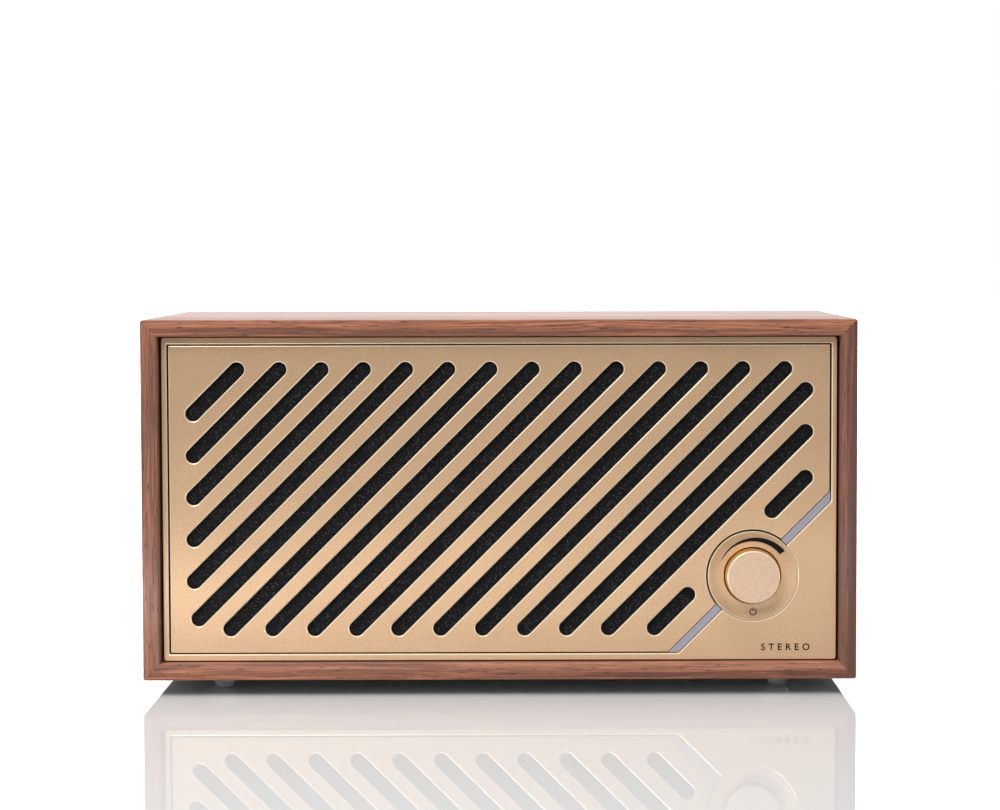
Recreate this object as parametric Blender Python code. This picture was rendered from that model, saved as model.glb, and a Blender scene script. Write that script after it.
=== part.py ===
"""A tabletop radio in a mitred walnut cabinet, as an assembly of separate pieces.

Metres, +Z up. The origin is the middle of the footprint, on the surface the feet stand on.
The front faces -Y. Depths are measured back from the cabinet's front edge.
"""

import math

import bmesh
import bpy

MM = 0.001

# Cabinet: four mitred boards.
CABINET_WIDTH = 277 * MM
CABINET_HEIGHT = 140 * MM
CABINET_DEPTH = 114 * MM
BOARD = 6.5 * MM
BOARD_EDGE = 0.4 * MM

# Clearances.
GAP = 0.3 * MM  # between pieces that rest on each other
RUNNING = 0.15 * MM  # round a shaft that turns or slides
SHAKE = 0.4 * MM  # round a fastener or a bush in its hole
CUT_PAST = 1 * MM  # how far a cutter reaches past the face it opens

# Feet.
FOOT_HEIGHT = 6.6 * MM
FOOT_RADIUS = 5 * MM
FOOT_FLAT = 2.2 * MM
FOOT_FROM_SIDE = 28.5 * MM
FOOT_FROM_FRONT = 21 * MM

# Front: a bezel with a grille plate in it, both flush.
FRONT_RECESS = 4 * MM
BEZEL_SIDE_GAP = 1.0 * MM
BEZEL_TOP_GAP = 0.45 * MM
BEZEL_THICKNESS = 2.4 * MM
BEZEL_CORNER = 1.0 * MM
RIM_SIDE = 2.2 * MM
RIM_TOP = 2.6 * MM
PLATE_GAP = 0.5 * MM
PLATE_THICKNESS = 1.5 * MM
CLOTH_THICKNESS = 0.5 * MM
CLOTH_MARGIN = 2 * MM

# Grille slots, at 45 degrees. Pitches run along the plate's top edge.
SLOT_WIDTH = 5.9 * MM
SLOT_PITCH = 16.35 * MM
SLOT_FIRST = 35.85 * MM  # from the plate's top left corner to the first slot's line
SLOT_MARGIN = 9.4 * MM  # from a plate edge to the centre of a slot's round end
SLOT_CORNER = 5.6 * MM  # cut off the corner of the field that the slots fill
SHORT_SLOT = 18.3 * MM  # the last line has only two short slots, clear of the dial
SHORT_SLOT_SHIFT = 1.55 * MM
LAST_LINE_CLEAR = 15 * MM  # from the last line to the plate's diagonal cut, along x

# Dial, measured from the cabinet's right side and its bottom.
DIAL_FROM_SIDE = 40 * MM
DIAL_FROM_BOTTOM = 39.7 * MM
RING_RADIUS = 17.54 * MM
RING_GAP = 0.3 * MM
RING_LIP = 0.6 * MM
RING_DISH = 0.9 * MM
KNOB_RADIUS = 10.8 * MM
KNOB_FACE_RADIUS = 10.3 * MM
KNOB_GAP = 0.6 * MM
KNOB_EDGE = 0.6 * MM
KNOB_CAP = 1.6 * MM
KNOB_WALL = 2.0 * MM
KNOB_LENGTH = 6.0 * MM
KNOB_BOSS_LENGTH = 2.8 * MM
KNOB_BOSS_WALL = 1.45 * MM

# Light bar: it runs along the diagonal between the grille plate and the triangular panel.
BAR_WIDTH = 2.85 * MM
BAR_GAP = 0.2 * MM
BAR_OFFSET = 0.7 * MM  # its middle line passes this far above the dial's centre
BAR_RECESS = 0.3 * MM
BAR_THICKNESS = 1.2 * MM
LED_THICKNESS = 0.6 * MM

# Encoder with a push switch.
SHAFT_RADIUS = 3 * MM
BUSH_WALL = 1.35 * MM
BUSH_PROUD = 1.5 * MM  # in front of the baffle
NUT_ACROSS_FLATS = 12 * MM
NUT_THICKNESS = 1.1 * MM
ENCODER_SIDE = 12.4 * MM
ENCODER_DEPTH = 7.5 * MM
ENCODER_WALL = 1.2 * MM
ROTOR_CLEAR = 1 * MM  # from the encoder's front wall to its rotor
ROTOR_RADIUS = 4.4 * MM
ROTOR_THICKNESS = 1.2 * MM
ACTUATOR_THICKNESS = 1.0 * MM
ACTUATOR_NUB = 0.7 * MM
NUB_RADIUS = 1.2 * MM
PRESS_TRAVEL = 0.5 * MM
CONTROL_BOARD = (26 * MM, 22 * MM)
BOARD_THICKNESS = 1.6 * MM

# Baffle and drivers.
BAFFLE = 6 * MM
DRIVER_RADIUS = 38 * MM  # of the flange
DRIVER_RAISE = 10 * MM  # above the cabinet's middle
DRIVER_CLEAR = 2.6 * MM  # between a flange and the encoder
FLANGE_WIDTH = 7.5 * MM
FLANGE_THICKNESS = 1.5 * MM
LIP_OVERLAP = 5 * MM  # how far the baffle covers the flange
LIP_WIDTH = 4.5 * MM
LIP_INSET = 1 * MM  # from the flange's inner edge to the roll
ROLL_WIDTH = 6 * MM
ROLL_RISE = 2.5 * MM
CONE_LIP = 2 * MM
PAPER = 0.5 * MM
CONE_DEPTH = 12 * MM
COIL_RADIUS = 8 * MM
COIL_LAP = 1 * MM  # how far the coil reaches into the cone's neck
COIL_LENGTH = 14 * MM
WINDING_LENGTH = 6 * MM
WINDING = 0.4 * MM
CAP_RADIUS = 10.5 * MM
CAP_RISE = 3 * MM
SPIDER_RADIUS = 19.5 * MM
SPIDER_WAVE = 0.6 * MM
SPIDER_WAVES = 2
SPIDER_CLEAR = 0.5 * MM  # round the coil
SPIDER_DROP = 2 * MM  # from the cone's neck to the spider, besides the stroke
BASKET_WALL = 1.2 * MM
BASKET_STEP = 7 * MM  # from the spider's seat to the basket's floor
WINDOW_WIDTH = 16 * MM
TOP_PLATE = 4 * MM
TOP_PLATE_RADIUS = 21 * MM
MAGNET_RADIUS = 25 * MM
MAGNET_BORE = 11 * MM
MAGNET_THICKNESS = 9 * MM
YOKE_RADIUS = 23 * MM
YOKE_THICKNESS = 3.5 * MM
COIL_CLEAR = 0.4 * MM
STROKE = 2 * MM

# Back.
REAR_RECESS = 8 * MM
REAR_PANEL = 3 * MM
BATTEN = 12 * MM
SCREW_RADIUS = 1.5 * MM
SCREW_LENGTH = 13 * MM
SCREW_HEAD_RADIUS = 3.2 * MM
SCREW_HEAD = 1.6 * MM
SCREW_DOME = 0.72 * MM
SCREW_FROM_END = 10 * MM
PORT_RADIUS = 13 * MM
PORT_WALL = 1.8 * MM
PORT_LENGTH = 45 * MM
PORT_FLANGE = 5 * MM
PORT_FLARE = 2.5 * MM
PORT_RAISE = 20 * MM
FLANGE_ON_PANEL = 1.5 * MM
SOCKET_FROM_BOTTOM = 27.5 * MM  # from the bottom board
BUTTON_FROM_SIDE = 46 * MM  # the sockets are placed from the nearer side board
AUX_FROM_SIDE = 68 * MM
AERIAL_FROM_SIDE = 96 * MM
INLET_FROM_SIDE = 48 * MM
BUTTON_RADIUS = 3.5 * MM
BUTTON_PROUD = 1.2 * MM
BUTTON_EDGE = 0.4 * MM
BUTTON_SHOULDER = 1.1 * MM
BUTTON_SHOULDER_THICKNESS = 1 * MM
BUTTON_STEM = 2.5 * MM
BUTTON_TRAVEL = 0.8 * MM
AUX_BORE = 1.8 * MM
AUX_COLLAR = 1 * MM
AUX_FLOOR = 1 * MM
AUX_RADIUS = 4.5 * MM
AUX_NECK = 3.2 * MM
AUX_BODY = 5 * MM
AERIAL_BARREL = 4.75 * MM
AERIAL_PROUD = 7 * MM
AERIAL_BORE = 1 * MM
AERIAL_BORE_DEPTH = 4 * MM
AERIAL_NUT = 7 * MM
AERIAL_NUT_THICKNESS = 2 * MM
AERIAL_BODY = 6.5 * MM
INLET_SIZE = (21 * MM, 12.5 * MM)
INLET_LIP = 2.5 * MM
INLET_LENGTH = 22 * MM
CAVITY_HALF_SPAN = 3.7 * MM
CAVITY_RADIUS = 4.1 * MM
CAVITY_DEPTH = 13 * MM
PIN_SPACING = 8.6 * MM
PIN_RADIUS = 1.2 * MM
PIN_LENGTH = 10 * MM
PIN_ROOT = 1 * MM  # how far a pin goes into the inlet's floor

# Boards inside.
SOCKET_LENGTH = 9 * MM  # from the rear panel's inner face to the main board
BOARD_RAISE = 4 * MM  # of a board's middle above the sockets
MAIN_BOARD = (110 * MM, 46 * MM)
MAIN_BOARD_FROM_SIDE = 87 * MM  # its middle
POWER_BOARD = (70 * MM, 44 * MM)
POWER_BOARD_SHIFT = 6 * MM  # of its middle from the inlet, away from the side
POWER_PART_SHIFT = 16 * MM  # of the transformer and the capacitor from the board's middle
INLET_CLEAR = 1 * MM  # from the inlet to the power board
MODULE = (38 * MM, 26 * MM, 4 * MM)
MODULE_PLACE = (22 * MM, 2 * MM)  # from the main board's middle
AMPLIFIER = (16 * MM, 16 * MM, 6 * MM)
AMPLIFIER_PLACE = (-38 * MM, 4 * MM)
SWITCH = (6 * MM, 6 * MM, 1.6 * MM)
TRANSFORMER = (26 * MM, 24 * MM, 15 * MM)
CAPACITOR_RADIUS = 7 * MM
CAPACITOR_LENGTH = 15 * MM
SOLDER = 0.2 * MM  # how far a soldered block sinks into its board
AERIAL_STRIP = (200 * MM, 12 * MM, 0.5 * MM)

FINE = 36  # segments round the dial
ROUND = 20  # segments round the pieces inside
SMALL = 12  # segments round screws and pins
HOLE_STEPS = 32  # segments round the openings in front of the drivers

# Worked out from the sizes above. Front positions are from the middle of the cabinet's front.
FRONT_Y = -CABINET_DEPTH / 2
MIDDLE_Z = FOOT_HEIGHT + CABINET_HEIGHT / 2
INNER_WIDTH = CABINET_WIDTH - 2 * BOARD
INNER_HEIGHT = CABINET_HEIGHT - 2 * BOARD
BEZEL_WIDTH = INNER_WIDTH - 2 * BEZEL_SIDE_GAP
BEZEL_HEIGHT = INNER_HEIGHT - 2 * BEZEL_TOP_GAP
WINDOW_HALF_X = BEZEL_WIDTH / 2 - RIM_SIDE
WINDOW_HALF_Z = BEZEL_HEIGHT / 2 - RIM_TOP
PLATE_HALF_X = WINDOW_HALF_X - PLATE_GAP
PLATE_HALF_Z = WINDOW_HALF_Z - PLATE_GAP
DIAL = (CABINET_WIDTH / 2 - DIAL_FROM_SIDE, DIAL_FROM_BOTTOM - CABINET_HEIGHT / 2)
ROOT2 = math.sqrt(2)
BAR_LINE = DIAL[0] - DIAL[1] - BAR_OFFSET * ROOT2  # x - z along the middle of the light bar
BAR_HALF = BAR_WIDTH / 2 * ROOT2
CHANNEL_HALF = (BAR_WIDTH / 2 + BAR_GAP) * ROOT2
NOTCH_RADIUS = RING_RADIUS + RING_GAP
CLOTH_DEPTH = FRONT_RECESS + PLATE_THICKNESS + GAP
BAFFLE_DEPTH = FRONT_RECESS + BEZEL_THICKNESS + GAP
BAFFLE_BACK = BAFFLE_DEPTH + BAFFLE
KNOB_HOLE = KNOB_RADIUS + KNOB_GAP
BUSH_RADIUS = SHAFT_RADIUS + RUNNING + BUSH_WALL
ENCODER_FRONT = BAFFLE_BACK + GAP
ENCODER_BACK = ENCODER_FRONT + ENCODER_DEPTH
CONTROL_DEPTH = ENCODER_BACK + PRESS_TRAVEL
ACTUATOR_DEPTH = CONTROL_DEPTH - GAP - PRESS_TRAVEL - ACTUATOR_NUB - ACTUATOR_THICKNESS
DRIVER_REACH = DRIVER_RADIUS + ENCODER_SIDE / 2 * ROOT2 + DRIVER_CLEAR
DRIVER_RISE = DRIVER_RAISE - DIAL[1]
DRIVER_X = DIAL[0] - math.sqrt(max(DRIVER_REACH**2 - DRIVER_RISE**2, 0))
BAFFLE_HOLE = DRIVER_RADIUS - LIP_OVERLAP
ROLL_OUTER = DRIVER_RADIUS - FLANGE_WIDTH + LIP_INSET
CONE_RADIUS = ROLL_OUTER - ROLL_WIDTH
REAR_DEPTH = CABINET_DEPTH - REAR_RECESS
MAIN_BOARD_BACK = REAR_PANEL + SOCKET_LENGTH

# Rear positions are from the middle of the panel, with x to the right as seen from behind.
SOCKET_Y = SOCKET_FROM_BOTTOM - INNER_HEIGHT / 2
BUTTON_X = BUTTON_FROM_SIDE - INNER_WIDTH / 2
AUX_X = AUX_FROM_SIDE - INNER_WIDTH / 2
AERIAL_X = AERIAL_FROM_SIDE - INNER_WIDTH / 2
INLET_X = INNER_WIDTH / 2 - INLET_FROM_SIDE
MAIN_BOARD_X = MAIN_BOARD_FROM_SIDE - INNER_WIDTH / 2
BOARD_Y = SOCKET_Y + BOARD_RAISE
RIGHT = math.pi / 2


def clear_scene():
    for thing in list(bpy.data.objects):
        bpy.data.objects.remove(thing, do_unlink=True)


def finish(name, colour, roughness=0.5, metallic=0.0, alpha=1.0):
    """A Principled material, made once for each name."""
    known = bpy.data.materials.get(name)
    if known:
        return known
    made = bpy.data.materials.new(name)
    made.use_nodes = True
    shader = made.node_tree.nodes["Principled BSDF"]
    shader.inputs["Base Color"].default_value = (*colour, 1)
    shader.inputs["Roughness"].default_value = roughness
    shader.inputs["Metallic"].default_value = metallic
    shader.inputs["Alpha"].default_value = alpha
    return made


def walnut():
    return finish("walnut", (0.30, 0.14, 0.075), 0.45)


def gold():
    return finish("gold_paint", (0.62, 0.42, 0.24), 0.4, 0.6)


def black_plastic():
    return finish("black_plastic", (0.02, 0.02, 0.022), 0.5)


def steel():
    return finish("steel", (0.55, 0.55, 0.56), 0.35, 1.0)


def brass():
    return finish("brass", (0.7, 0.5, 0.2), 0.3, 1.0)


def circuit_board():
    return finish("circuit_board", (0.02, 0.12, 0.05), 0.5)


def station(name, location, rotation):
    """An empty that pieces are placed from."""
    empty = bpy.data.objects.new(name, None)
    empty.location = location
    empty.rotation_euler = rotation
    bpy.context.collection.objects.link(empty)
    return empty


def put(name, bm, look, parent=None, location=(0, 0, 0), smooth=None):
    """Makes an object of a bmesh, at a place under its parent."""
    bmesh.ops.recalc_face_normals(bm, faces=bm.faces[:])
    mesh = bpy.data.meshes.new(name)
    bm.to_mesh(mesh)
    bm.free()
    mesh.materials.append(look)
    if smooth:
        mesh.shade_smooth()
        mesh.set_sharp_from_angle(angle=math.radians(smooth))
    piece = bpy.data.objects.new(name, mesh)
    piece.parent = parent
    piece.location = location
    bpy.context.collection.objects.link(piece)
    return piece


def plate(outline, holes, thickness):
    """A flat solid: its face at z = 0, its back at z = -thickness."""
    bm = bmesh.new()
    for loop in (outline, *holes):
        ring = [bm.verts.new((x, y, 0)) for x, y in loop]
        for a, b in zip(ring, ring[1:] + ring[:1]):
            bm.edges.new((a, b))
    bmesh.ops.triangle_fill(bm, use_beauty=True, edges=bm.edges[:])
    swept = bmesh.ops.extrude_face_region(bm, geom=bm.faces[:])["geom"]
    moved = [v for v in swept if isinstance(v, bmesh.types.BMVert)]
    bmesh.ops.translate(bm, vec=(0, 0, -thickness), verts=moved)
    return bm


def turned(profile, steps, closed=True):
    """A solid turned about Z from (radius, z) points.

    A closed profile is a ring's section. An open one starts and ends on the axis.
    """
    bm = bmesh.new()
    angles = [2 * math.pi * k / steps for k in range(steps)]
    rows = []
    for radius, z in profile:
        if radius == 0:
            rows.append([bm.verts.new((0, 0, z))] * steps)
        else:
            rows.append([bm.verts.new((radius * math.cos(a), radius * math.sin(a), z)) for a in angles])
    pairs = list(zip(rows, rows[1:]))
    if closed:
        pairs.append((rows[-1], rows[0]))
    for low, high in pairs:
        for k in range(steps):
            j = (k + 1) % steps
            corners = [low[k], low[j], high[j], high[k]]
            bm.faces.new(dict.fromkeys(corners))
    return bm


def block(size, centre=(0, 0, 0)):
    bm = bmesh.new()
    bmesh.ops.create_cube(bm, size=1)
    bmesh.ops.scale(bm, vec=size, verts=bm.verts[:])
    bmesh.ops.translate(bm, vec=centre, verts=bm.verts[:])
    return bm


def combine(target, tool, operation):
    """Cuts a tool out of a piece, or joins it on, and keeps the tool as a wire guide."""
    tool.hide_render = True
    tool.display_type = "WIRE"
    step = target.modifiers.new(tool.name, "BOOLEAN")
    step.operation = operation
    step.object = tool


def circle(centre, radius, steps):
    return arc(centre, radius, 0, 2 * math.pi, steps)[:-1]


def arc(centre, radius, start, end, steps):
    angles = [start + (end - start) * k / steps for k in range(steps + 1)]
    return [(centre[0] + radius * math.cos(a), centre[1] + radius * math.sin(a)) for a in angles]


def rectangle(half_x, half_y, centre=(0, 0)):
    corners = ((-1, -1), (1, -1), (1, 1), (-1, 1))
    return [(centre[0] + sx * half_x, centre[1] + sy * half_y) for sx, sy in corners]


def rounded_rectangle(half_x, half_y, radius, steps=3):
    """Anticlockwise from the lower left corner."""
    points = []
    for quarter, (cx, cy) in enumerate(rectangle(half_x - radius, half_y - radius)):
        start = math.pi + quarter * RIGHT
        points += arc((cx, cy), radius, start, start + RIGHT, steps)
    return points


def slot_outline(low, high, width, steps=6):
    """A round-ended slot between the centres of its two ends."""
    along = math.atan2(high[1] - low[1], high[0] - low[0])
    radius = width / 2
    top = arc(high, radius, along - RIGHT, along + RIGHT, steps)
    bottom = arc(low, radius, along + RIGHT, along + 3 * RIGHT, steps)
    return top + bottom


def crossings(line, radius):
    """Where the diagonal x - z = line meets a circle round the dial: angles, low one first."""
    lean = math.asin((DIAL[0] - DIAL[1] - line) / ROOT2 / radius)
    return math.radians(225) - lean, math.radians(45) + lean


def field_outline(half_x, half_z, line, radius, steps=16):
    """A rectangle cut off along a diagonal, and notched round the dial, on the upper left side."""
    low, high = crossings(line, radius)
    notch = arc(DIAL, radius, low, high, steps)
    return [
        (-half_x, -half_z),
        (line - half_z, -half_z),
        *notch,
        (half_x, half_x - line),
        (half_x, half_z),
        (-half_x, half_z),
    ]


def slot_lines():
    """The slots' ends: full lines first, then the two short ones on the last line."""
    reach_x = PLATE_HALF_X - SLOT_MARGIN
    reach_z = PLATE_HALF_Z - SLOT_MARGIN
    corner = reach_x + reach_z - SLOT_CORNER
    first = SLOT_FIRST - PLATE_HALF_X - PLATE_HALF_Z
    last = BAR_LINE - CHANNEL_HALF - LAST_LINE_CLEAR
    count = int((last - first) / SLOT_PITCH) + 1
    slots = []
    for k in range(count - 1):
        line = first + k * SLOT_PITCH
        low_x = max(-reach_x, line - reach_z, (line - corner) / 2)
        high_x = min(reach_x, line + reach_z, (line + corner) / 2)
        slots.append(((low_x, low_x - line), (high_x, high_x - line)))
    line = first + (count - 1) * SLOT_PITCH + SHORT_SLOT_SHIFT
    step = SHORT_SLOT / ROOT2
    low = (line - reach_z, -reach_z)
    high = (reach_x, reach_x - line)
    slots.append((low, (low[0] + step, low[1] + step)))
    slots.append(((high[0] - step, high[1] - step), high))
    return slots


def cabinet():
    half_x, half_z = CABINET_WIDTH / 2, CABINET_HEIGHT / 2
    joint = GAP / ROOT2  # half the mitre's gap, measured along an edge
    for name, long, short, turn in (
        ("cabinet_bottom", half_x, half_z, 0),
        ("cabinet_right", half_z, half_x, 1),
        ("cabinet_top", half_x, half_z, 2),
        ("cabinet_left", half_z, half_x, 3),
    ):
        outline = [
            (-long + joint, -short),
            (long - joint, -short),
            (long - joint - BOARD, -short + BOARD),
            (-long + joint + BOARD, -short + BOARD),
        ]
        piece = put(name, plate(outline, (), CABINET_DEPTH), walnut())
        piece.location = (0, FRONT_Y, MIDDLE_Z)
        piece.rotation_euler = (RIGHT, -turn * RIGHT, 0)
        edge = piece.modifiers.new("eased_edges", "BEVEL")
        edge.width = BOARD_EDGE
        edge.segments = 1
        edge.limit_method = "ANGLE"


def feet():
    clear = finish("clear_rubber", (0.85, 0.86, 0.87), 0.15, alpha=0.6)
    height = FOOT_HEIGHT - GAP
    dome = [(0, 0)]
    steps = 5
    for k in range(steps + 1):
        bend = RIGHT * k / steps
        radius = FOOT_FLAT + (FOOT_RADIUS - FOOT_FLAT) * math.sin(bend)
        dome.append((radius, height * (1 - math.cos(bend))))
    dome.append((0, height))
    x = CABINET_WIDTH / 2 - FOOT_FROM_SIDE
    y = CABINET_DEPTH / 2 - FOOT_FROM_FRONT
    for name, sx, sy in (
        ("foot_front_left", -1, -1),
        ("foot_front_right", 1, -1),
        ("foot_back_left", -1, 1),
        ("foot_back_right", 1, 1),
    ):
        put(name, turned(dome, ROUND, closed=False), clear, None, (sx * x, sy * y, 0), smooth=40)


def front_trim(front):
    """The bezel with its triangular panel, the grille plate and the cloth behind it."""
    line = BAR_LINE + CHANNEL_HALF
    low, high = crossings(line, NOTCH_RADIUS)
    opening = [
        (-WINDOW_HALF_X, -WINDOW_HALF_Z),
        (line - WINDOW_HALF_Z, -WINDOW_HALF_Z),
        *arc(DIAL, NOTCH_RADIUS, low, high + 2 * math.pi, 20),
        (WINDOW_HALF_X, WINDOW_HALF_X - line),
        (WINDOW_HALF_X, WINDOW_HALF_Z),
        (-WINDOW_HALF_X, WINDOW_HALF_Z),
    ]
    outside = rounded_rectangle(BEZEL_WIDTH / 2, BEZEL_HEIGHT / 2, BEZEL_CORNER)
    put("front_bezel", plate(outside, [opening], BEZEL_THICKNESS), gold(), front, (0, 0, -FRONT_RECESS))

    edge = BAR_LINE - CHANNEL_HALF
    slots = [slot_outline(low, high, SLOT_WIDTH) for low, high in slot_lines()]
    face = plate(field_outline(PLATE_HALF_X, PLATE_HALF_Z, edge, NOTCH_RADIUS), slots, PLATE_THICKNESS)
    put("grille_plate", face, gold(), front, (0, 0, -FRONT_RECESS))

    cloth_half = (PLATE_HALF_X - CLOTH_MARGIN, PLATE_HALF_Z - CLOTH_MARGIN)
    cloth = field_outline(*cloth_half, edge - CLOTH_MARGIN, NOTCH_RADIUS + CLOTH_MARGIN)
    look = finish("speaker_cloth", (0.016, 0.015, 0.017), 0.95)
    put("grille_cloth", plate(cloth, (), CLOTH_THICKNESS), look, front, (0, 0, -CLOTH_DEPTH))


def bar_outlines(half_width, shorter):
    """The light bar's two lengths, below and above the dial, as outlines."""
    near, far = BAR_LINE - half_width, BAR_LINE + half_width
    radius = RING_RADIUS + shorter
    base = WINDOW_HALF_Z - shorter
    side = WINDOW_HALF_X - shorter
    near_low, near_high = crossings(near, radius)
    far_low, far_high = crossings(far, radius)
    lower = [(near - base, -base), (far - base, -base), *arc(DIAL, radius, far_low, near_low, 3)]
    upper = [(side, side - far), (side, side - near), *arc(DIAL, radius, near_high, far_high, 3)]
    return {"lower": lower, "upper": upper}


def light_bar(front):
    diffuser = finish("light_diffuser", (0.40, 0.37, 0.42), 0.45)
    for place, outline in bar_outlines(BAR_HALF, GAP).items():
        depth = FRONT_RECESS + BAR_RECESS
        put(f"light_bar_{place}", plate(outline, (), BAR_THICKNESS), diffuser, front, (0, 0, -depth))
    flex = finish("led_flex", (0.8, 0.8, 0.75), 0.5)
    for place, outline in bar_outlines(BAR_HALF, GAP).items():
        depth = FRONT_RECESS + BAR_RECESS + BAR_THICKNESS + GAP
        put(f"led_strip_{place}", plate(outline, (), LED_THICKNESS), flex, front, (0, 0, -depth))


def dial(front):
    """The ring and the knob. Their origins are on the knob's axis, at the cabinet's front edge."""
    top = -FRONT_RECESS
    dish = [(RING_RADIUS, top), (RING_RADIUS - RING_LIP, top)]
    steps = 4
    for k in range(1, steps + 1):
        bend = RIGHT * k / steps
        run = RING_RADIUS - RING_LIP - KNOB_HOLE
        dish.append((RING_RADIUS - RING_LIP - run * k / steps, top - RING_DISH * math.sin(bend)))
    back = top - BEZEL_THICKNESS
    section = [*dish, (KNOB_HOLE, back), (RING_RADIUS, back)]
    put("dial_ring", turned(section, FINE), gold(), front, (*DIAL, 0), smooth=40)

    inner = KNOB_RADIUS - KNOB_WALL
    bore = SHAFT_RADIUS + RUNNING
    boss_end = -KNOB_CAP - KNOB_BOSS_LENGTH
    edge = arc((KNOB_FACE_RADIUS - KNOB_EDGE, -KNOB_EDGE), KNOB_EDGE, RIGHT, 0, 3)
    section = [
        (0, 0),
        *edge,
        (KNOB_RADIUS, -FRONT_RECESS),
        (KNOB_RADIUS, -KNOB_LENGTH),
        (inner, -KNOB_LENGTH),
        (inner, -KNOB_CAP),
        (bore + KNOB_BOSS_WALL, -KNOB_CAP),
        (bore + KNOB_BOSS_WALL, boss_end),
        (bore, boss_end),
        (bore, -KNOB_CAP),
        (0, -KNOB_CAP),
    ]
    put("volume_knob", turned(section, FINE, closed=False), gold(), front, (*DIAL, 0), smooth=40)


def encoder(front):
    """The encoder behind the knob, with its push switch and the board it is soldered to."""
    spot = (*DIAL, 0)
    rotor = ENCODER_FRONT + ENCODER_WALL + ROTOR_CLEAR
    shaft_front = KNOB_CAP + GAP
    shaft_back = ACTUATOR_DEPTH - GAP
    shaft = [
        (0, -shaft_front),
        (SHAFT_RADIUS, -shaft_front),
        (SHAFT_RADIUS, -rotor),
        (ROTOR_RADIUS, -rotor),
        (ROTOR_RADIUS, -rotor - ROTOR_THICKNESS),
        (SHAFT_RADIUS, -rotor - ROTOR_THICKNESS),
        (SHAFT_RADIUS, -shaft_back),
        (0, -shaft_back),
    ]
    put("encoder_shaft", turned(shaft, ROUND, closed=False), steel(), front, spot, smooth=40)

    bore = SHAFT_RADIUS + RUNNING
    bush_front = -BAFFLE_DEPTH + BUSH_PROUD
    bush = [
        (BUSH_RADIUS, bush_front),
        (BUSH_RADIUS, -BAFFLE_BACK),
        (bore, -BAFFLE_BACK),
        (bore, bush_front),
    ]
    put("encoder_bush", turned(bush, ROUND), brass(), front, spot, smooth=40)

    hexagon = circle((0, 0), NUT_ACROSS_FLATS / math.sqrt(3), 6)
    nut = plate(hexagon, [circle((0, 0), BUSH_RADIUS + RUNNING, ROUND)], NUT_THICKNESS)
    put("encoder_nut", nut, steel(), front, (*DIAL, -BAFFLE_DEPTH + GAP + NUT_THICKNESS))

    side = ENCODER_SIDE / 2
    body = put("encoder_body", block((ENCODER_SIDE, ENCODER_SIDE, ENCODER_DEPTH)), black_plastic(), front)
    body.location = (*DIAL, -ENCODER_FRONT - ENCODER_DEPTH / 2)
    wall_back = -ENCODER_FRONT - ENCODER_WALL
    room = min(ROTOR_RADIUS + GAP, side - ENCODER_WALL)
    hollow = [
        (0, -ENCODER_FRONT + CUT_PAST),
        (bore, -ENCODER_FRONT + CUT_PAST),
        (bore, wall_back),
        (room, wall_back),
        (room, -ENCODER_BACK - CUT_PAST),
        (0, -ENCODER_BACK - CUT_PAST),
    ]
    tool = put("cut_encoder", turned(hollow, ROUND, closed=False), black_plastic(), front, spot)
    combine(body, tool, "DIFFERENCE")

    press = [
        (0, -ACTUATOR_DEPTH),
        (ROTOR_RADIUS, -ACTUATOR_DEPTH),
        (ROTOR_RADIUS, -ACTUATOR_DEPTH - ACTUATOR_THICKNESS),
        (NUB_RADIUS, -ACTUATOR_DEPTH - ACTUATOR_THICKNESS),
        (NUB_RADIUS, -ACTUATOR_DEPTH - ACTUATOR_THICKNESS - ACTUATOR_NUB),
        (0, -ACTUATOR_DEPTH - ACTUATOR_THICKNESS - ACTUATOR_NUB),
    ]
    put("push_actuator", turned(press, ROUND, closed=False), black_plastic(), front, spot, smooth=40)

    board = plate(rectangle(CONTROL_BOARD[0] / 2, CONTROL_BOARD[1] / 2), (), BOARD_THICKNESS)
    put("control_board", board, circuit_board(), front, (*DIAL, -CONTROL_DEPTH))


def baffle(front):
    holes = [circle((x, DRIVER_RAISE), BAFFLE_HOLE, HOLE_STEPS) for x in (-DRIVER_X, DRIVER_X)]
    holes.append(circle(DIAL, BUSH_RADIUS + SHAKE, ROUND))
    outline = rectangle(INNER_WIDTH / 2 - GAP, INNER_HEIGHT / 2 - GAP)
    board = finish("fibreboard", (0.12, 0.09, 0.06), 0.8)
    put("front_baffle", plate(outline, holes, BAFFLE), board, front, (0, 0, -BAFFLE_DEPTH))


def surround():
    """A half-round roll between the flange's lip and the cone's edge."""
    lip, low = -GAP, -GAP - PAPER
    middle = (ROLL_OUTER + CONE_RADIUS) / 2
    half = ROLL_WIDTH / 2
    steps = 4

    def roll(rise, drop, back):
        angles = [math.pi * k / steps for k in range(1, steps)]
        points = [(middle + (half - drop) * math.cos(a), rise * math.sin(a) + (lip - drop)) for a in angles]
        return points[::-1] if back else points

    return [
        (ROLL_OUTER + LIP_WIDTH, lip),
        (ROLL_OUTER, lip),
        *roll(ROLL_RISE, 0, False),
        (CONE_RADIUS, lip),
        (CONE_RADIUS - CONE_LIP, lip),
        (CONE_RADIUS - CONE_LIP, low),
        (CONE_RADIUS + PAPER, low),
        *roll(ROLL_RISE, PAPER, True),
        (ROLL_OUTER - PAPER, low),
        (ROLL_OUTER + LIP_WIDTH, low),
    ]


def spider(seat):
    """A corrugated disc from the voice coil to its seat in the basket."""
    inner = COIL_RADIUS + SPIDER_CLEAR
    steps = SPIDER_WAVES * 4
    wave = []
    for k in range(steps + 1):
        radius = inner + (SPIDER_RADIUS - inner) * k / steps
        wave.append((radius, seat + GAP + SPIDER_WAVE * (1 + math.sin(RIGHT * k))))
    under = [(radius, z + PAPER) for radius, z in reversed(wave)]
    return wave + under


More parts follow.
